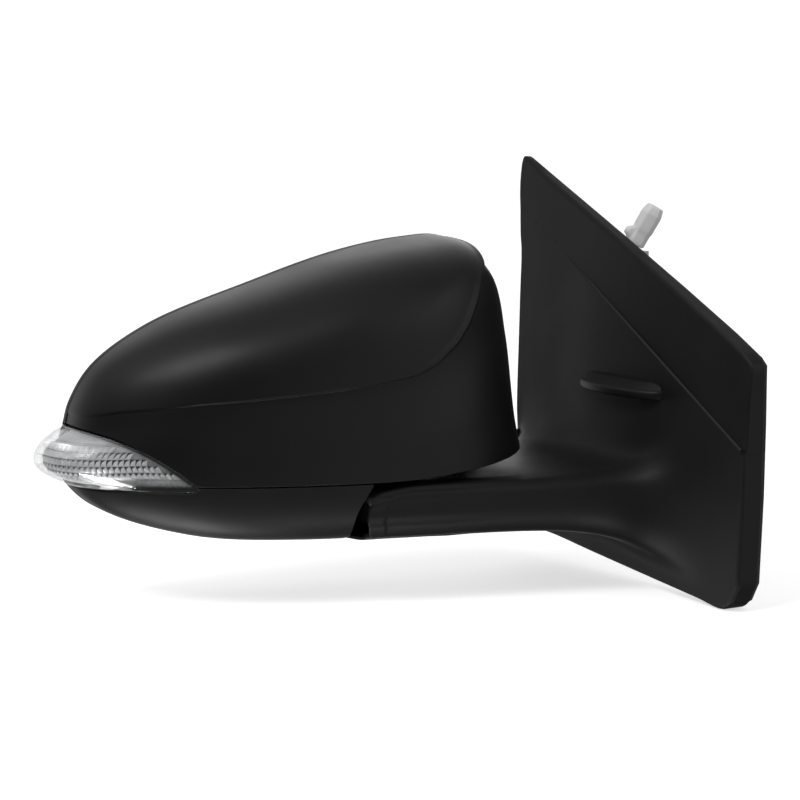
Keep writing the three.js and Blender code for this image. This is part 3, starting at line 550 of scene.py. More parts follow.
CAP_PAINT = satin_paint()
GRAINED = grained_plastic("grained_black", (0.0060,) * 3, (0.0078,) * 3, 0.55)
ARM_PLASTIC = grained_plastic("arm_black", (0.0068,) * 3, (0.0088,) * 3, 0.52)
CLEAR = clear_plastic()
OPTIC = surface("metallised_optic", (0.80, 0.81, 0.82), (0.92, 0.93, 0.94), 0.24, 900, 1e-5, metal=0.15)
# Near-black copy of the optic: painted shade for two facets of each pyramid.
OPTIC_PAINTED_SHADE = surface("optic_painted_shade", (0.01, 0.01, 0.011), (0.02, 0.02, 0.022), 0.3, 900, 1e-5, metal=0.2)
OPTIC_BAND = surface("optic_band", (0.52, 0.53, 0.54), (0.66, 0.67, 0.68), 0.3, 700, 1e-5, metal=0.2)
NYLON = translucent_nylon()
GLASS_FILLED = surface("glass_filled_nylon", (0.02, 0.021, 0.022), (0.034, 0.035, 0.037), 0.55, 1500, 4e-5)
CAST = surface("cast_alloy", (0.36, 0.365, 0.37), (0.5, 0.505, 0.51), 0.5, 1100, 6e-5, metal=0.9)
ZINC = surface("zinc_steel", (0.55, 0.56, 0.57), (0.68, 0.69, 0.7), 0.32, 900, 1e-5, 1.0, stretch=(8, 1, 1))
ACETAL = surface("acetal", (0.72, 0.7, 0.63), (0.8, 0.78, 0.72), 0.42, 1300, 1e-5)
RUBBER = surface("soft_rubber", (0.012,) * 3, (0.02,) * 3, 0.75, 1800, 3e-5)
FOAM = surface("cell_foam", (0.015, 0.015, 0.016), (0.04, 0.04, 0.042), 0.9, 1400, 2e-4)
MIRROR = silvered_glass()
HEATER = heater_foil()


# ------------------------------------------------------------------ the head's form
def face_depth(p):
    d = p - FACE_P
    return FACE_Q + np.where(d < 0, SWEEP_OUT, SWEEP_IN) * d * d


def lamp_top(p):
    along = np.clip((p - LAMP_OUTER_P) / (LAMP_TIP_P - LAMP_OUTER_P), 0, 1)
    return LAMP_TOP_Z - (LAMP_TOP_Z - LAMP_BOTTOM_Z - 1.5) * along**1.7


def swell(p, q, z):
    up = np.clip((z - LAMP_BOTTOM_Z) / (lamp_top(p) - LAMP_BOTTOM_Z), 0, 1)
    fade = smooth((-133 - p) / 30) * smooth((LAMP_REAR_Q + 0.5 - q) / 9)
    return LAMP_BULGE * (4 * up * (1 - up)) ** 0.65 * fade


def round_the_middle(outline):
    """Offsets of outline points from the head's middle, their distance, and how square the shoulder is."""
    dp, dz = outline[..., 0] - HEAD_CENTRE[0], outline[..., 1] - HEAD_CENTRE[1]
    reach = np.hypot(dp, dz)
    low = 0.5 - 0.5 * dz / reach
    return dp, dz, reach, ROUND_TOP + (ROUND_BOTTOM - ROUND_TOP) * low**2


def on_head(outline, share, rise_from, inset, proud):
    """Points of the head's skin between the middle of its face and an outline point of its rim."""
    dp, dz, reach, power = round_the_middle(outline)
    share, rise = rise_from(share, power)
    scale = share * (1 - inset / reach)
    p, z = HEAD_CENTRE[0] + dp * scale, HEAD_CENTRE[1] + dz * scale
    face = face_depth(p) + inset
    q = face + (RIM_Q - face) * rise
    if proud:
        out = swell(p, q, z)
        tilt = 1.2 * (1 - rise) ** 2
        p = p - out / np.hypot(1, tilt)
        q = q - out * tilt / np.hypot(1, tilt)
    return np.stack([p, q, z], -1)


def by_angle(angle, power):
    """Evenly spaced points round the shoulder: angle 0 at the face's middle, a quarter turn at the rim."""
    a = np.clip(angle, 0, math.pi / 2)
    share = np.sin(a) ** (2 / MEAN_POWER)
    return share, 1 - (1 - np.sin(a) ** (2 * power / MEAN_POWER)) ** (1 / power)


def by_share(share, power):
    s = np.clip(share, 0, 1)
    return s, 1 - (1 - s**power) ** (1 / power)


def head_skin(u, angle):
    return on_head(closed_curve(HEAD_OUTLINE, u), angle, by_angle, 0.0, False)


def from_head_centre(pts):
    return unit(pts - np.array([-50.0, 30.0, 25.0]))


def skin_rows(count, power=MEAN_POWER):
    """Angles that space the rows of the head's skin evenly over the shoulder."""
    dense = np.linspace(0.0, math.pi / 2, 4000)
    share, rise = by_angle(dense, power)
    run = np.concatenate([[0], np.cumsum(np.hypot(np.diff(share) * 85, np.diff(rise) * 85))])
    return np.interp(np.linspace(0, run[-1], count), run, dense)


HEAD_US = np.arange(260) / 260
HEAD_VS = skin_rows(84)
HEAD_VS[0] = 0.0002  # next to the middle, which cap_cover closes with a fan


def cap_sink(pts):
    """How far the cap stands off its first form: a lip along the crease, sunk below and inboard of it."""
    p, z = pts[..., 0], pts[..., 2]
    d = line_distance(CREASE, p, z)
    depth = 0.35 + 1.85 * smooth((p + 140) / 90)
    drop = smooth((d + 0.1) / 1.3) * (1 - smooth((d - 3) / 34))
    lip = 0.95 * smooth((p + 12) / 24) * np.exp(-(((d + 1.3) / 1.5) ** 2))
    return lip - depth * drop


def arm_radius(z):
    return np.interp(z, ARM_END_FINE[:, 1], ARM_END_FINE[:, 0])


def cap_edge(p):
    """Height of the cap's lower edge: level, then up round its inboard corner."""
    return SEAM_Z - 0.4 + 8.0 * np.clip((p + 25) / 77, 0, 1) ** 1.6


def cap_cover():
    rim = 0.45
    place = moved(head_skin, cap_sink, from_head_centre, (0.0, QUARTER))
    patch = Patch(place, HEAD_US, HEAD_VS, from_head_centre, closed=True)

    def under_seam(pts):
        p, z = pts[..., 0], pts[..., 2]
        lamp = np.where(p < LAMP_TIP_P + 0.5, lamp_top(p) + 0.3, -99.0)
        return np.maximum(cap_edge(p), lamp) + rim - z

    patch.cut(under_seam)
    patch.cut(lambda pts: pts[..., 1] - CAP_REAR_Q + rim)
    for line in (-2.9, -2.1, -1.3, -0.6, -0.1, 0.3, 0.7, 1.2, 2.0):
        patch.cut(lambda pts, at=line: line_distance(CREASE, pts[..., 0], pts[..., 2]) - at, both=True)
    body = Body().shell(patch, COVER_WALL, rim)
    # The blank in the middle of the face, where the rows meet.
    ring = place(HEAD_US, np.full(len(HEAD_US), HEAD_VS[0]))
    middle = ring.mean(0)
    way = unit(np.cross(ring[0] - middle, ring[len(ring) // 4] - middle))
    body.fan(ring, middle, way * -np.sign(way[1]))
    return body.make("cap_cover_skin", "head", CAP_PAINT, ["cap_cover"], "painted_cap")


def lower_cover():
    rim = 0.6
    patch = Patch(head_skin, HEAD_US, HEAD_VS, from_head_centre, closed=True)

    def above_seam(pts):
        p, z = pts[..., 0], pts[..., 2]
        top = np.where(p < LAMP_TIP_P - 0.5, LAMP_BOTTOM_Z - 0.5, SEAM_Z - 1)
        return z - top + rim

    def in_arm(pts):
        return arm_radius(pts[..., 2]) + 0.6 + rim - np.hypot(pts[..., 0], pts[..., 1])

    patch.cut(above_seam)
    patch.cut(lambda pts: pts[..., 1] - CAP_REAR_Q + rim)
    patch.cut(lambda pts: pts[..., 0] + 12 + rim)
    patch.cut(in_arm)
    made = Body().shell(patch, COVER_WALL, rim)
    return made.make("lower_cover_skin", "head", ARM_PLASTIC, ["lower_cover"], "grained_black")


# ------------------------------------------------------------------ rear housing and glass
HOUSING = [
    (0, 45.4), (0, 47.5), (0.4, 50), (2.2, 52), (5, 52), (7, 50), (8.6, 44), (9.8, 32), (12.4, 21.5),
    (14.5, 18), (34, 17.2),
]
HOUSING_FINE = open_curve(HOUSING, 220).T
HOUSING_AT = np.linspace(0, 1, 220)


def housing_skin(u, t):
    inset, q = (np.interp(t, HOUSING_AT, column) for column in HOUSING_FINE)
    outline = closed_curve(RIM_OUTLINE, u)
    dp, dz, reach, power = round_the_middle(outline)
    face = face_depth(outline[..., 0])
    rise = np.clip((q - face) / (RIM_Q - face), 0, 1)
    hug = np.where(inset < 5, (1 - (1 - rise) ** power) ** (1 / power), 1.0)
    scale = hug * (1 - inset / reach)
    return np.stack([HEAD_CENTRE[0] + dp * scale, q, HEAD_CENTRE[1] + dz * scale], -1)


def rear_housing():
    rim = 0.3

    def outward(pts):
        """Away from the head's middle, across the glass plane: true of the outer wall only."""
        away = pts - np.array([-50.0, 0.0, 28.0])
        away[..., 1] = 0
        return unit(away)

    whole = Patch(housing_skin, np.arange(320) / 320, np.linspace(0, 1, 64), outward, closed=True)
    # A spot on the outer wall fixes which way is out for the whole strip.
    u, t, step = np.array([0.1]), np.array([0.02]), 2e-4
    spot = housing_skin(u, t)
    du, dv = housing_skin(u + step, t) - spot, housing_skin(u, t + step) - spot
    whole.sign = np.sign((np.cross(du, dv) * outward(spot)).sum())
    sample = whole.tri[:400]
    if (face_normals(whole.points()[sample]) * whole.normals()[sample[:, 0]]).sum() < 0:
        whole.tri = whole.tri[:, ::-1]

    def in_lamp(pts):
        p, q, z = (pts[..., k] for k in range(3))
        inside = np.minimum(lamp_top(p) + 0.5 + rim - z, z - LAMP_BOTTOM_Z + 0.5 + rim)
        return np.minimum(np.minimum(inside, LAMP_REAR_Q + 0.4 + rim - q), -125 - p)

    def in_arm(pts):
        z = pts[..., 2]
        return np.where(z < -14, arm_radius(z) + 1.8 + rim - np.hypot(pts[..., 0], pts[..., 1]), -5.0)

    whole.cut(in_lamp)
    whole.cut(in_arm)
    return Body().shell(whole, 1.4, rim, inner=False).make(
        "rear_housing_skin", "head", GRAINED, ["rear_housing"], "grained_black")


def rim_ring(inset, q, count=240):
    dp, dz, reach, _ = round_the_middle(closed_curve(RIM_OUTLINE, np.arange(count) / count))
    scale = 1 - inset / reach
    return np.stack([HEAD_CENTRE[0] + dp * scale, np.full(count, q), HEAD_CENTRE[1] + dz * scale], -1)


def plate(profile, front_way, name, body, look, nodes, slot):
    """A plate with the rim's outline: profile is (inset, q) from its front edge round to its back edge."""
    made = Body()
    rings = [rim_ring(inset, q) for inset, q in profile]
    made.loft(rings[::-1] if front_way else rings)
    for ring, way in ((rings[0], 1.0), (rings[-1], -1.0)):
        middle = np.array([HEAD_CENTRE[0], ring[0, 1], HEAD_CENTRE[1]])
        made.fan(ring, middle, np.array([0.0, way, 0.0]))
    return made.make(name, body, look, nodes, slot)


def mirror_glass():
    profile = [
        (17.3, 41.5), (16.9, 41.42), (16.65, 41.2), (16.5, 40.9), (16.5, 39.9), (16.6, 39.5), (16.9, 39.3),
    ]
    return plate(profile, True, "mirror_glass_fine", "glass", MIRROR, ["mirror_glass"], "silvered")


def carrier_rim():
    """The bead of the carrier that holds the edge of the glass."""
    bead = [
        (14.9, 36), (14.9, 39), (15.0, 41), (15.5, 41.75), (16.1, 41.6), (16.3, 41), (16.3, 38), (16.0, 35.9),
        (15.3, 35.6),
    ]
    section = closed_curve(bead, np.arange(36) / 36)
    made = Body().loft([rim_ring(inset, q) for inset, q in section], closed=True)
    return made.make("glass_carrier_bead", "glass", GRAINED, (), "grained_black")


# ------------------------------------------------------------------ the turn lamp
def lamp_skin(inset, bulge=True):
    """place(w, z): a line of constant height over the lamp, w from its inboard tip round to the rear."""
    fine = np.linspace(0, 1, 4000)
    outline = closed_curve(HEAD_OUTLINE, fine)
    branch = (outline[:, 0] < -100) & (outline[:, 1] > -42) & (outline[:, 1] < 56)
    heights, at = outline[branch, 1], fine[branch]
    at = np.where(at < 0.5, at + 1, at)
    order = np.argsort(heights)
    heights, at = heights[order], at[order]
    cz = HEAD_CENTRE[1]

    def place(w, z):
        share = 1 - 0.46 * (1 - np.clip(w, 0, 1)) ** 5
        u = np.interp(cz + (z - cz) / share, heights, at)
        return on_head(closed_curve(HEAD_OUTLINE, u), share, by_share, inset, bulge)

    return place


def outboard(pts):
    return unit(pts - np.array([-100.0, 40.0, 0.0]))


def lamp_lens():
    rim = 0.5
    rows = np.linspace(LAMP_BOTTOM_Z, LAMP_TOP_Z, 44)
    patch = Patch(lamp_skin(0.0), np.linspace(0.0, 1, 110), rows, outboard)

    def above(pts):
        return pts[..., 2] - lamp_top(pts[..., 0]) + rim

    patch.cut(lambda pts: LAMP_BOTTOM_Z + rim - pts[..., 2])
    patch.cut(above)
    patch.cut(lambda pts: pts[..., 0] - LAMP_TIP_P + rim)
    patch.cut(lambda pts: pts[..., 1] - LAMP_REAR_Q + rim)
    return Body().shell(patch, 1.8, rim).make("lamp_lens_skin", "head", CLEAR, ["lamp_lens"], "clear_lens")


def lamp_joint_shade_sheet():
    """Dark strip behind the joint between cap and lens: a dark sheet of housing plastic put there as painted
    shade, so the gap reads as a shadow line.
    """
    patch = Patch(lamp_skin(2.9), np.linspace(0.0, 1, 90), np.linspace(-14.0, LAMP_TOP_Z + 6, 46), outboard)
    patch.cut(lambda pts: lamp_top(pts[..., 0]) - 1.0 - pts[..., 2])
    patch.cut(lambda pts: pts[..., 2] - lamp_top(pts[..., 0]) - 5)
    patch.cut(lambda pts: pts[..., 1] - LAMP_REAR_Q + 1)
    return Body().shell(patch, 0.8, 0.2).make("lamp_joint_shade_strip", "head", GRAINED, (), "grained_black")


def lamp_grid():
    """The optic: rows of little pyramids, a smooth band under them and a plain slope above."""
    place, deeper = lamp_skin(3.6), lamp_skin(4.4)
    made = Body()
    fine = np.linspace(0, 1, 3000)
    pitch, width, lowest, rows = 3.3, 2.75, -12.0, 5

    def stations(z):
        """Distance run along the lamp at height z from the rear inboard, and w at each."""
        pts = place(fine, np.full(fine.shape, z))
        inside = (pts[:, 1] < OPTIC_REAR_Q) & (lamp_top(pts[:, 0]) - 1.8 > z) & (pts[:, 0] < LAMP_TIP_P - 2)
        pts, w = pts[inside][::-1], fine[inside][::-1]
        run = np.concatenate([[0], np.cumsum(np.linalg.norm(np.diff(pts, axis=0), axis=1))])
        return run, w

    cells = []
    for row in range(rows):
        z0, z1 = lowest + row * pitch, lowest + (row + 1) * pitch
        lines = [stations(z0), stations(z1)]
        for k in range(int(min(run[-1] for run, _ in lines) / width)):
            ends = [np.interp([k * width, (k + 1) * width], run, w) for run, w in lines]
            cells.append((ends[0][0], ends[0][1], ends[1][1], ends[1][0], z0, z1))
    cells = np.array(cells)
    corners = [place(cells[:, 0], cells[:, 4]), place(cells[:, 1], cells[:, 4]),
               place(cells[:, 2], cells[:, 5]), place(cells[:, 3], cells[:, 5])]
    corners = np.stack(corners, 1)  # outboard low, inboard low, inboard high, outboard high
    across = unit(np.cross(corners[:, 1] - corners[:, 0], corners[:, 3] - corners[:, 0]))
    across *= np.sign((across * outboard(corners.mean(1))).sum(1, keepdims=True))
    apex = corners[:, 0] * 0.21 + corners[:, 1] * 0.09 + corners[:, 2] * 0.21 + corners[:, 3] * 0.49 + across
    # The top and outboard facets of each pyramid take the near-black copy: painted shade, not a colour of the
    # optic.
    for a, b, look in ((0, 1, 0), (1, 2, 0), (2, 3, 1), (3, 0, 1)):
        pts = np.stack([corners[:, a], corners[:, b], apex], 1)
        n = unit(np.cross(pts[:, 1] - pts[:, 0], pts[:, 2] - pts[:, 0]))
        turned = (n * across).sum(1) < 0
        pts[turned] = pts[turned][:, ::-1]
        n[turned] *= -1
        faces = np.arange(len(pts) * 3).reshape(-1, 3)
        made.add(pts.reshape(-1, 3), faces, np.repeat(n[:, None], 3, 1), look)

    backing = Patch(deeper, np.linspace(0.0, 1, 90), np.linspace(-16.0, LAMP_TOP_Z, 40), outboard)
    backing.cut(lambda pts: pts[..., 2] - lamp_top(pts[..., 0]) + 1.2)
    backing.cut(lambda pts: pts[..., 0] - LAMP_TIP_P + 1.5)
    backing.cut(lambda pts: pts[..., 1] - OPTIC_REAR_Q)
    made.shell(backing, 1.0, 0.3, look=2)

    def band(w, t):
        angle = t * math.pi
        z = -14.2 + 1.9 * np.cos(angle)
        skin, deep = place(w, z), deeper(w, z)
        share = np.sin(angle)[..., None] * 0.9
        return skin * share + deep * (1 - share)

    trim = Patch(band, np.linspace(0.0, 1, 110), np.linspace(0, 1, 12), outboard)
    trim.cut(lambda pts: pts[..., 1] - OPTIC_REAR_Q)
    trim.cut(lambda pts: pts[..., 0] - LAMP_TIP_P + 3)
    made.shell(trim, 0.5, 0.2, look=2)
    looks = [OPTIC, OPTIC_PAINTED_SHADE, OPTIC_BAND]
    return made.make("lamp_optic_prisms", "head", looks, ["lamp_optic"], "lamp_bright")


# ------------------------------------------------------------------ arm and sail
def spread(points, count):
    """Divides a line of points into count steps, keeping its corners; the last point is left out."""
    pts = np.asarray(points, float)
    reach = np.linalg.norm(np.diff(pts, axis=0), axis=1)
    steps = [1] * len(reach)
    for _ in range(count - len(steps)):
        widths = [r / s for r, s in zip(reach, steps)]
        steps[widths.index(max(widths))] += 1
    return [pts[i] + (pts[i + 1] - pts[i]) * k / n for i, n in enumerate(steps) for k in range(n)]


def sail_outline():
    top, front, bottom, rear = COUNTS
    return np.array([
        *spread(SAIL_TOP, top),
        *spread([*SAIL_FRONT, SAIL_BOTTOM[0]], front),
        *spread([*SAIL_BOTTOM, SAIL_REAR[0]], bottom),
        *spread([*SAIL_REAR, SAIL_TOP[0]], rear),
    ])


SAIL_POINTS = sail_outline()
SECTION = len(SAIL_POINTS)


def face_x(z):
    return FACE_X_LOW + FACE_LEAN * np.maximum(z, 0)


def arm_section(x):
    """The arm's section at each x: control points (n, SECTION, 2), side by side with the sail's outline."""
    x = np.atleast_1d(x)
    front = -69 - (x + 12) * (40 / 144)
    rear = 32 + 25 * smooth((x + 66) / 54) ** 1.2
    top, edge, low = ARM_TOP_Z, ARM_EDGE_Z, ARM_BOTTOM_Z
    parts = []
    fall = ARM_END_FALL * np.clip((-130 - x) / 22, 0, 1) ** 2
    for f, r, d in zip(front, rear, fall):
        brow, heel, foot, shoulder = (f, edge - 2.4 - d), (f + 13, low + 0.3), (r, low + 6), (r, top - 1.5)
        sides = (
            [shoulder, (r - 3, top), (f + 12, top - d * 0.6), (f + 3.4, edge + 0.9 - d), brow],
            [brow, (f + 0.6, low + 13), (f + 2.6, low + 7), (f + 6.5, low + 2.6), heel],
            [heel, (r - 6, low), foot],
            [foot, shoulder],
        )
        parts.append([point for side, count in zip(sides, COUNTS) for point in spread(side, count)])
    return np.array(parts)


ARM_XS = np.linspace(-185, 0, 75)
ARM_TABLE = arm_section(ARM_XS)


def arm_point(x, u):
    """Section of the arm at x: (Y, z) at the fraction u of the way round it."""
    at = np.interp(x, ARM_XS, np.arange(len(ARM_XS)))
    k = np.minimum(np.floor(at).astype(int), len(ARM_XS) - 2)
    w = (at - k)[..., None]
    turn = (u % 1.0) * SECTION
    first = np.floor(turn).astype(int) % SECTION
    step = (turn - np.floor(turn))[..., None]
    near = [(first + offset) % SECTION for offset in (-1, 0, 1, 2)]
    return curve_between(*(ARM_TABLE[k, j] * (1 - w) + ARM_TABLE[k + 1, j] * w for j in near), step)


def blend_reach(u):
    """How far along the arm, and how far over the sail, the blend between them reaches."""
    top, front, bottom, _ = COUNTS
    under = top + front
    at = [0, top * 0.3, top * 0.8, top, under, under + bottom * 0.6, under + bottom, SECTION]
    along = [14, 15, 18, 46, 56, 26, 20, 14]
    over = [10, 22, 40, 48, 58, 22, 10, 10]
    j = (u % 1.0) * SECTION
    k = np.clip(np.searchsorted(at, j, side="right") - 1, 0, len(at) - 2)
    at, along, over = (np.array(v, float) for v in (at, along, over))
    t = smooth((j - at[k]) / (at[k + 1] - at[k]))
    return along[k] + (along[k + 1] - along[k]) * t, over[k] + (over[k + 1] - over[k]) * t


def edge_width(y, z):
    """Width of the sail's bevel: wide down its rear edge, narrow elsewhere."""
    rear = smooth((y - 48) / 8) * smooth((z + 22) / 10) * smooth((118 - z) / 12)
    return 2.6 + 3.6 * rear


def step_proud(y, z):
    d = line_distance(SAIL_STEP, y, z)
    return 0.9 * smooth((30 - y) / 40) * smooth((0.6 - d) / 1.2)


def sail_form(u, v):
    """Arm, blend, face, bevel and wall as first drawn: v counts through the five of them."""
    along, over = blend_reach(u)
    outline = closed_curve(SAIL_POINTS, u)
    qy, qz = outline[..., 0], outline[..., 1]
    stop = FACE_X_LOW - along
    knee = arm_point(stop, u)
    ky, kz = knee[..., 0], knee[..., 1]
    reach = np.hypot(qy - ky, qz - kz)
    share = np.minimum(over / reach, 0.75)
    fy, fz = ky + (qy - ky) * share, kz + (qz - kz) * share
    width = edge_width(qy, qz)
    left = np.hypot(qy - fy, qz - fz)
    ey, ez = qy + (fy - qy) * width / left, qz + (fz - qz) * width / left
    part = np.clip(np.floor(v), 0, 4)
    t = v - part
    # along the arm
    x0 = -185 + (stop + 185) * t
    arm = arm_point(x0, u)
    first = np.stack([x0, arm[..., 0], arm[..., 1]], -1)
    # the blend: a quadratic curve from the arm's line to the face
    a = np.stack([stop, ky, kz], -1)
    b = np.stack([face_x(kz), ky, kz], -1)
    c = np.stack([face_x(fz), fy, fz], -1)
    tt = t[..., None]
    second = a * (1 - tt) ** 2 + 2 * b * tt * (1 - tt) + c * tt**2
    # the flat face
    y, z = fy + (ey - fy) * t, fz + (ez - fz) * t
    third = np.stack([face_x(z), y, z], -1)
    # the bevel: between a chamfer and a round
    turn = t * math.pi / 2
    into = np.sin(turn) ** 1.45
    down = 1 - np.cos(turn) ** 1.45
    y, z = ey + (qy - ey) * into, ez + (qz - ez) * into
    drop = np.minimum(width * 0.4, 2.2)
    fourth = np.stack([face_x(z) + drop * down, y, z], -1)
    # the side wall back to the door
    x4 = face_x(qz) + drop
    fifth = np.stack([x4 + (-1 - x4) * t, qy, qz], -1)
    return np.select([part[..., None] == k for k in range(5)], [first, second, third, fourth, fifth])


GRID_US = np.arange(SECTION * 4) / (SECTION * 4)
GRID_VS = np.linspace(0.4, 3.0, 53)
EASE_ROUNDS = 60


def eased_grid():
    """The form round the blend as a grid of points, each drawn towards its neighbours."""
    grid = sail_form(*np.meshgrid(GRID_US, GRID_VS))
    free = (smooth((GRID_VS - 0.55) / 0.3) * smooth((2.7 - GRID_VS) / 0.5))[:, None, None]
    for _ in range(EASE_ROUNDS):
        side = (np.roll(grid, 1, axis=1) + np.roll(grid, -1, axis=1)) / 2
        lengthwise = grid.copy()
        lengthwise[1:-1] = (grid[:-2] + grid[2:]) / 2
        grid = grid + free * (0.15 * (side - grid) + 0.5 * (lengthwise - grid))
    return grid


SAIL_GRID = eased_grid()


def cubic(t):
    """Weights of four neighbours for a smooth curve through the middle two."""
    t2, t3 = t**2, t**3
    return (-t + 2 * t2 - t3) / 2, (2 - 5 * t2 + 3 * t3) / 2, (t + 4 * t2 - 3 * t3) / 2, (t3 - t2) / 2


def grid_point(u, v):
    across = (u % 1.0) * len(GRID_US)
    up = np.clip((v - GRID_VS[0]) / (GRID_VS[1] - GRID_VS[0]), 0, len(GRID_VS) - 1.0001)
    i, j = np.floor(up).astype(int), np.floor(across).astype(int)
    pts = 0.0
    for a, wa in enumerate(cubic(up - i)):
        row = np.clip(i + a - 1, 0, len(GRID_VS) - 1)
        for b, wb in enumerate(cubic(across - j)):
            pts = pts + (wa * wb)[..., None] * SAIL_GRID[row, (j + b - 1) % len(GRID_US)]
    return pts


def from_fold_axis(pts):
    """Distance of row-frame points from the fold axis."""
    return np.hypot(pts[..., 0] - FOLD_AXIS[0], pts[..., 1])


def sail_skin(u, v):
    share = (smooth((v - 0.45) / 0.1) * smooth((2.95 - v) / 0.1))[..., None]
    pts = sail_form(u, v) * (1 - share) + grid_point(u, v) * share
    proud = step_proud(pts[..., 1], pts[..., 2]) * smooth((v - 1.3) / 0.6) * smooth((4.0 - v) / 0.3)
    pts[..., 0] -= proud
    # a band round the arm's end stands slightly proud
    near = arm_radius(pts[..., 2]) - from_fold_axis(pts)
    x, y, z = (pts[..., k] for k in range(3))
    front = smooth((-125 - x) / 4) * smooth((-20 - z) / 2) * smooth((-10 - y) / 4)
    pts[..., 1] -= 0.4 * front * (1 - smooth((near - END_BAND) / 0.8))
    return pts


def sail_cover():
    rim = 0.5
    us = np.arange(SECTION * 5) / (SECTION * 5)
    rows = [part + np.linspace(0, 1, count)[:-1] for part, count in enumerate((60, 26, 22, 9))]
    vs = np.concatenate([*rows, 4 + np.linspace(0, 1, 3)])

    def outward(pts):
        away = pts - np.array([0.0, 0.0, -29.0])
        away[..., 0] = -40
        return unit(away)

    patch = Patch(sail_skin, us, vs, outward, closed=True)

    def beyond_end(pts):
        return np.where(pts[..., 0] < -108, from_fold_axis(pts) - arm_radius(pts[..., 2]) + rim, -1.0)

    def post_hole(pts):
        return np.where(pts[..., 2] > -24, 24 + rim - from_fold_axis(pts), -1.0)

    patch.cut(beyond_end)
    patch.cut(post_hole)

    def beside_band(pts, at):
        near = arm_radius(pts[..., 2]) - from_fold_axis(pts)
        return np.where(pts[..., 0] < -122, near - END_BAND - at, 1.0)

    for line in (0.0, 0.4, 0.8):
        patch.cut(lambda pts, at=line: beside_band(pts, at), both=True)

    def beside_step(pts, at):
        return np.where(pts[..., 0] > -60, line_distance(SAIL_STEP, pts[..., 1], pts[..., 2]) - at, -1.0)

    for line in (-0.6, -0.25, 0.25, 0.6):
        patch.cut(lambda pts, at=line: beside_step(pts, at), both=True)
    made = Body().shell(patch, 2.3, rim)
    # Part of the arm's round end wall, under its rolled edge: only what shows with the head at rest.
    turns = np.radians(np.linspace(142, 208, 40))
    heights = np.linspace(-41.5, -17, 12)
    pts = np.array([[(r * math.cos(a) + FOLD_AXIS[0], r * math.sin(a), h) for a in turns]
                    for h, r in zip(heights, arm_radius(heights) - 0.9)])
    count = len(turns)
    i, j = np.meshgrid(np.arange(len(heights) - 1), np.arange(count - 1), indexing="ij")
    a = (i * count + j).ravel()
    normal = np.tile(np.array([[math.cos(t), math.sin(t), 0] for t in turns]), (len(heights), 1))
    made.add(pts.reshape(-1, 3), np.stack([a, a + 1, a + count + 1, a + count], 1)[:, ::-1], normal)
    return made.make("sail_cover_skin", "base", ARM_PLASTIC, ["sail_cover"], "grained_black", head=False)


def sail_fin():
    """Blade on the sail's face: thin at its edge, its top sloping up to the face."""
    front, rear, reach = -66.0, 1.0, 13.0
    low, edge, slope = 19.6, 23.8, 4.4
    rings = []
    for share in 0.5 - 0.5 * np.cos(np.linspace(0.001, math.pi - 0.001, 72)):
        y = rear + (front - rear) * share
        out = reach * max(math.sin(math.pi * share), 1e-4) ** 0.45
        high = edge + slope * min(out / 8, 1.0)
        nose = min(1.2, out * 0.5)
        profile = [
            (1.0, high + 0.6), (-out * 0.35, high - (high - edge) * 0.30), (-out + nose * 2.2, edge + 0.5),
            (-out + nose, edge + 0.1), (-out + nose * 0.35, edge - 0.4), (-out, edge - 1.3),
            (-out, low + 1.0), (-out + nose * 0.4, low + 0.25), (-out + nose, low), (1.0, low),
        ]
        rings.append([(-9.0 + x, y, z) for x, z in profile])
    made = Body().loft(np.array(rings))
    return made.make("sail_fin_blade", "base", ARM_PLASTIC, (), "grained_black", head=False)


def locating_clip():
    """Hollow hexagonal peg with a tapered lead-in, and a snap nose on its outboard side."""
    place = Vector((7.2, -17, 91))
    along = Vector((0.4, -0.27, 0.87)).normalized()
    turn = Vector((0, 0, 1)).rotation_difference(along).to_matrix()
    outboard_way = turn.inverted() @ Vector((-0.85, 0.53, 0.0))
    nose_angle = math.atan2(outboard_way.y, outboard_way.x)
    profile = [
        (0.2, 3.2), (0.0, 3.9), (0.6, 4.3), (2.0, 4.4), (3.0, 4.4), (4.0, 4.4), (5.0, 4.4), (6.0, 4.4),
        (7.0, 4.5), (8.0, 4.7), (9.0, 4.8), (16.8, 4.9), (17.6, 4.8), (20.6, 4.1), (21.4, 3.7), (21.6, 3.2),
        (21.2, 2.8), (15.5, 2.6), (15.3, 0.1),
    ]
    steps, corner_reach = 72, 1.125
    nose_out, nose_middle, nose_half = 3.0, 4.6, 2.9
    rings = []
    for height, radius in profile:
        ring = []
        has_nose = height > 1 and radius > 4
        level = nose_out * max(0.0, 1 - ((height - nose_middle) / nose_half) ** 4) if has_nose else 0.0
        for k in range(steps):
            angle = 2 * math.pi * k / steps
            slope = (angle + math.pi / 6) % (math.pi / 3) - math.pi / 6
            flat = min(1 / math.cos(slope), corner_reach)
            aside = (angle - nose_angle + math.pi) % (2 * math.pi) - math.pi
            r = radius * flat + level * math.exp(-((aside / 0.5) ** 4))
            v = turn @ Vector((r * math.cos(angle), r * math.sin(angle), height))
            ring.append(tuple(place + v))
        rings.append(ring)
    made = Body().loft(np.array(rings))
    return made.make("locating_clip_peg", "base", NYLON, ["locating_clip"], "white_nylon", head=False)


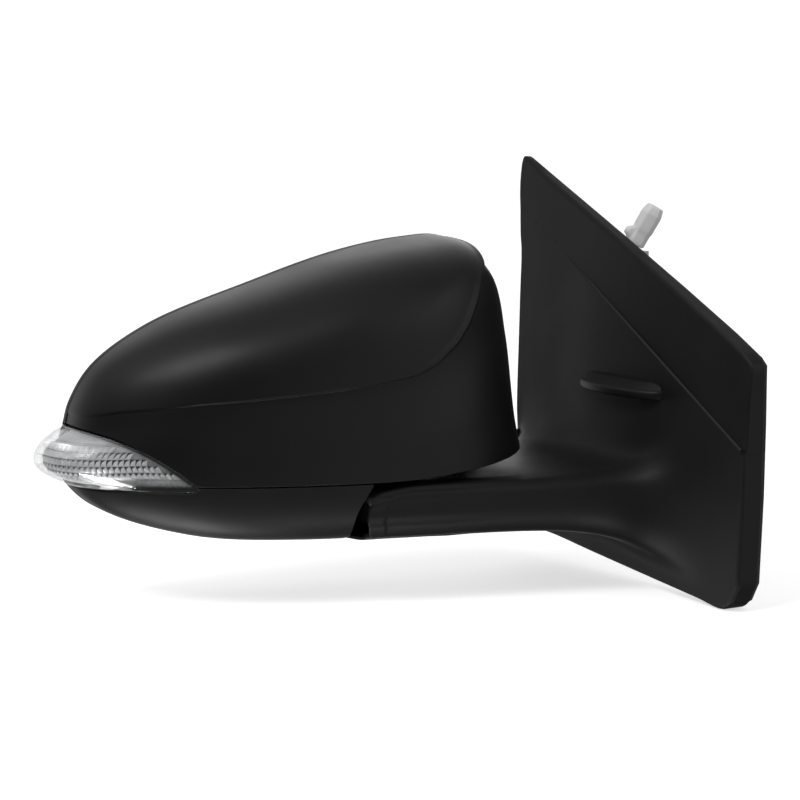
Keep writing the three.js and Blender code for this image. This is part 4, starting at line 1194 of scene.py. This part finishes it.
def threaded_stud(number, y, z):
    """M6 stud with a rolled thread and a flange."""
    count, pitch, root, depth = 40, 1.0, 2.62, 0.38
    rings = []
    for x in np.concatenate([[-5.0], np.arange(-4.2, 23.6, 0.125), [24.0]]):
        ring = []
        for k in range(count):
            angle = 2 * math.pi * k / count
            wave = abs(((x / pitch - k / count) % 1.0) - 0.5) * 2
            radius = root + depth * min(1, max(0, wave * 1.35 - 0.1))
            if x >= 23 or x <= -4.9:
                radius = min(radius, root - 0.5 * max(0, x - 23))
            ring.append((x, y + radius * math.cos(angle), z + radius * math.sin(angle)))
        rings.append(ring)
    made = Body().loft(np.array(rings)[:, ::-1])
    turns = 2 * math.pi * np.arange(48) / 48
    flange = [
        [(x, y + r * math.cos(turn), z + r * math.sin(turn)) for turn in turns]
        for x, r in ((-5.8, 2.0), (-5.8, 4.6), (-5.6, 4.9), (-4.6, 5.0), (-4.3, 4.8), (-4.3, 2.5))
    ]
    made.loft(np.array(flange)[:, ::-1])
    name = f"mounting_stud_{number}"
    return made.make(name + "_thread", "base", ZINC, [name], "zinc_steel", head=False)


# ------------------------------------------------------------------ CAD pieces that stay
LOOKS = {
    "arm_under_cover": ARM_PLASTIC,
    "base_bracket": CAST,
    "door_gasket": FOAM,
    "wiring_grommet": RUBBER,
    "head_frame": GLASS_FILLED,
    "lamp_housing": GLASS_FILLED,
    "lamp_bulb_holder": NYLON,
    "actuator_front_case": GLASS_FILLED,
    "actuator_rear_case": GLASS_FILLED,
    "pivot_ball": ACETAL,
    "tilt_ring": ACETAL,
    "yaw_drive_wheel": ACETAL,
    "pitch_drive_wheel": ACETAL,
    "yaw_plunger": ACETAL,
    "pitch_plunger": ACETAL,
    "glass_carrier": GRAINED,
    "heater_pad": HEATER,
}


def dress(node, obj):
    """Material, soft edges and smooth rounds for a CAD piece that stays."""
    material = LOOKS.get(node, ZINC)
    obj.data.materials.clear()
    obj.data.materials.append(material)
    obj.data.polygons.foreach_set("use_smooth", [True] * len(obj.data.polygons))
    obj.data.set_sharp_from_angle(angle=math.radians(32))
    bevel = obj.modifiers.new("soft_edges", "BEVEL")
    bevel.width = 0.00022
    bevel.segments = 2
    bevel.limit_method = "ANGLE"
    bevel.angle_limit = math.radians(40)
    bevel.harden_normals = True


# ------------------------------------------------------------------ stage, lights, camera
FLOOR_GLOW = 0.62
WORLD_LOW = 0.06
# Direction, brightness, and the cosines between which it grows; tuned for the photograph's view.
WORLD_LOBES = [
    ((0.0, 0.0, 1.0), 0.25, 0.35, 1.0),
    ((0.53, 0.84, 0.05), 1.2, 0.7, 0.97),
    ((0.53, 0.84, -0.05), 1.5, 0.9, 0.99),
    ((0.1, 0.99, -0.1), 0.9, 0.9, 1.0),
    ((-0.47, 0.41, 0.78), 0.7, 0.85, 1.0),
    ((-0.54, 0.84, -0.09), 0.58, 0.8, 1.0),
    ((0.4, -0.9, -0.14), 0.5, 0.6, 1.0),
    ((0.42, -0.7, 0.55), 1.0, 0.82, 1.0),
]
KEY_POWER, LOW_POWER, TIP_POWER = 7, 2, 0.5
CAMERA_AZIMUTH, CAMERA_ELEVATION = math.radians(-32), math.radians(8)
CAMERA_DISTANCE = 1.5
CAMERA_AIM = (-0.120, 0, 0.020)
CAMERA_LENS = 139.18  # mm, on a sensor 36 mm wide


def floor():
    low = cad_box[0].z - 0.0005
    mesh = bpy.data.meshes.new("floor")
    count, radius = 96, 80.0
    turns = [2 * math.pi * k / count for k in range(count)]
    ring = [(radius * math.cos(turn), radius * math.sin(turn), low) for turn in turns]
    mesh.from_pydata(ring, [], [list(range(count))])
    obj = bpy.data.objects.new("floor", mesh)
    bpy.context.scene.collection.objects.link(obj)
    material, tree, shader = nodes_of("pale_floor")
    tint(tree, shader, noise(tree, 3, 2), (0.9, 0.9, 0.9), (0.93, 0.93, 0.93))
    shader.inputs["Roughness"].default_value = 0.9
    shader.inputs["Specular IOR Level"].default_value = 0.1
    shader.inputs["Emission Color"].default_value = (1, 1, 1, 1)
    shader.inputs["Emission Strength"].default_value = FLOOR_GLOW
    mesh.materials.append(material)
    # Lit from within and left out of the object's own lighting, so that the dark plastics stay dark.
    obj.visible_diffuse = False
    obj.visible_glossy = False
    obj.visible_transmission = False
    obj.visible_shadow = False


def softbox(name, place, target, width, height, power):
    data = bpy.data.lights.new(name, "AREA")
    data.shape = "RECTANGLE"
    data.size, data.size_y = width, height
    data.energy = power
    obj = bpy.data.objects.new(name, data)
    obj.location = place
    obj.rotation_mode = "QUATERNION"
    obj.rotation_quaternion = (Vector(target) - Vector(place)).to_track_quat("-Z", "Y")
    bpy.context.scene.collection.objects.link(obj)


def lobe(tree, coords, way, level, start, end):
    """Brightness round one direction of the world, from nothing at the cosine `start` to `level` at `end`."""
    aim = tree.nodes.new("ShaderNodeVectorMath")
    aim.operation = "DOT_PRODUCT"
    aim.inputs[1].default_value = Vector(way).normalized()
    tree.links.new(coords.outputs["Generated"], aim.inputs[0])
    return ramp(tree, aim.outputs["Value"], 0.0, level, start, end)


def lights():
    """Dim room with bright patches, mostly behind the object, and three softboxes; the camera sees white."""
    world = bpy.data.worlds.new("studio")
    world.use_nodes = True
    tree = world.node_tree
    coords = tree.nodes.new("ShaderNodeTexCoord")
    glow = ramp(tree, coords.outputs["Generated"], WORLD_LOW, WORLD_LOW, 0, 1)
    for way, level, start, end in WORLD_LOBES:
        total = tree.nodes.new("ShaderNodeMath")
        total.operation = "ADD"
        tree.links.new(glow, total.inputs[0])
        tree.links.new(lobe(tree, coords, way, level, start, end), total.inputs[1])
        glow = total.outputs[0]
    path = tree.nodes.new("ShaderNodeLightPath")
    seen = tree.nodes.new("ShaderNodeMix")
    tree.links.new(path.outputs["Is Camera Ray"], seen.inputs["Factor"])
    tree.links.new(glow, seen.inputs["A"])
    seen.inputs["B"].default_value = 1.0
    background = tree.nodes["Background"]
    background.inputs["Color"].default_value = (1, 1, 1, 1)
    tree.links.new(seen.outputs["Result"], background.inputs["Strength"])
    bpy.context.scene.world = world
    softbox("key_softbox", (-0.95, -0.25, 0.95), (-0.17, 0.0, 0.03), 0.55, 0.45, KEY_POWER)
    softbox("tip_softbox", (-0.29, 0.05, -0.26), (-0.27, 0.0, -0.03), 0.14, 0.14, TIP_POWER)
    softbox("low_softbox", (-0.15, -0.50, -0.80), (-0.17, 0.0, 0.0), 0.30, 0.30, LOW_POWER)


def camera():
    level = math.cos(CAMERA_ELEVATION)
    back = Vector((
        math.sin(CAMERA_AZIMUTH) * level, -math.cos(CAMERA_AZIMUTH) * level, math.sin(CAMERA_ELEVATION)))
    data = bpy.data.cameras.new("camera")
    data.sensor_width = 36
    data.lens = CAMERA_LENS
    data.clip_start, data.clip_end = 0.05, 30
    obj = bpy.data.objects.new("camera", data)
    obj.location = Vector(CAMERA_AIM) + back * CAMERA_DISTANCE
    obj.rotation_mode = "QUATERNION"
    obj.rotation_quaternion = (-back).to_track_quat("-Z", "Y")
    bpy.context.scene.collection.objects.link(obj)
    bpy.context.scene.camera = obj


camera()
cap_cover()
lower_cover()
rear_housing()
mirror_glass()
carrier_rim()
lamp_lens()
lamp_joint_shade_sheet()
lamp_grid()
sail_cover()
sail_fin()
locating_clip()
for number, (stud_y, stud_z) in enumerate([(-92, -44), (-84, 34), (30, 40)], 1):
    threaded_stud(number, stud_y, stud_z)
for node_name, node_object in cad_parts.items():
    if not node_object.hide_render:
        dress(node_name, node_object)
floor()
lights()
bpy.context.scene.view_settings.view_transform = "Standard"
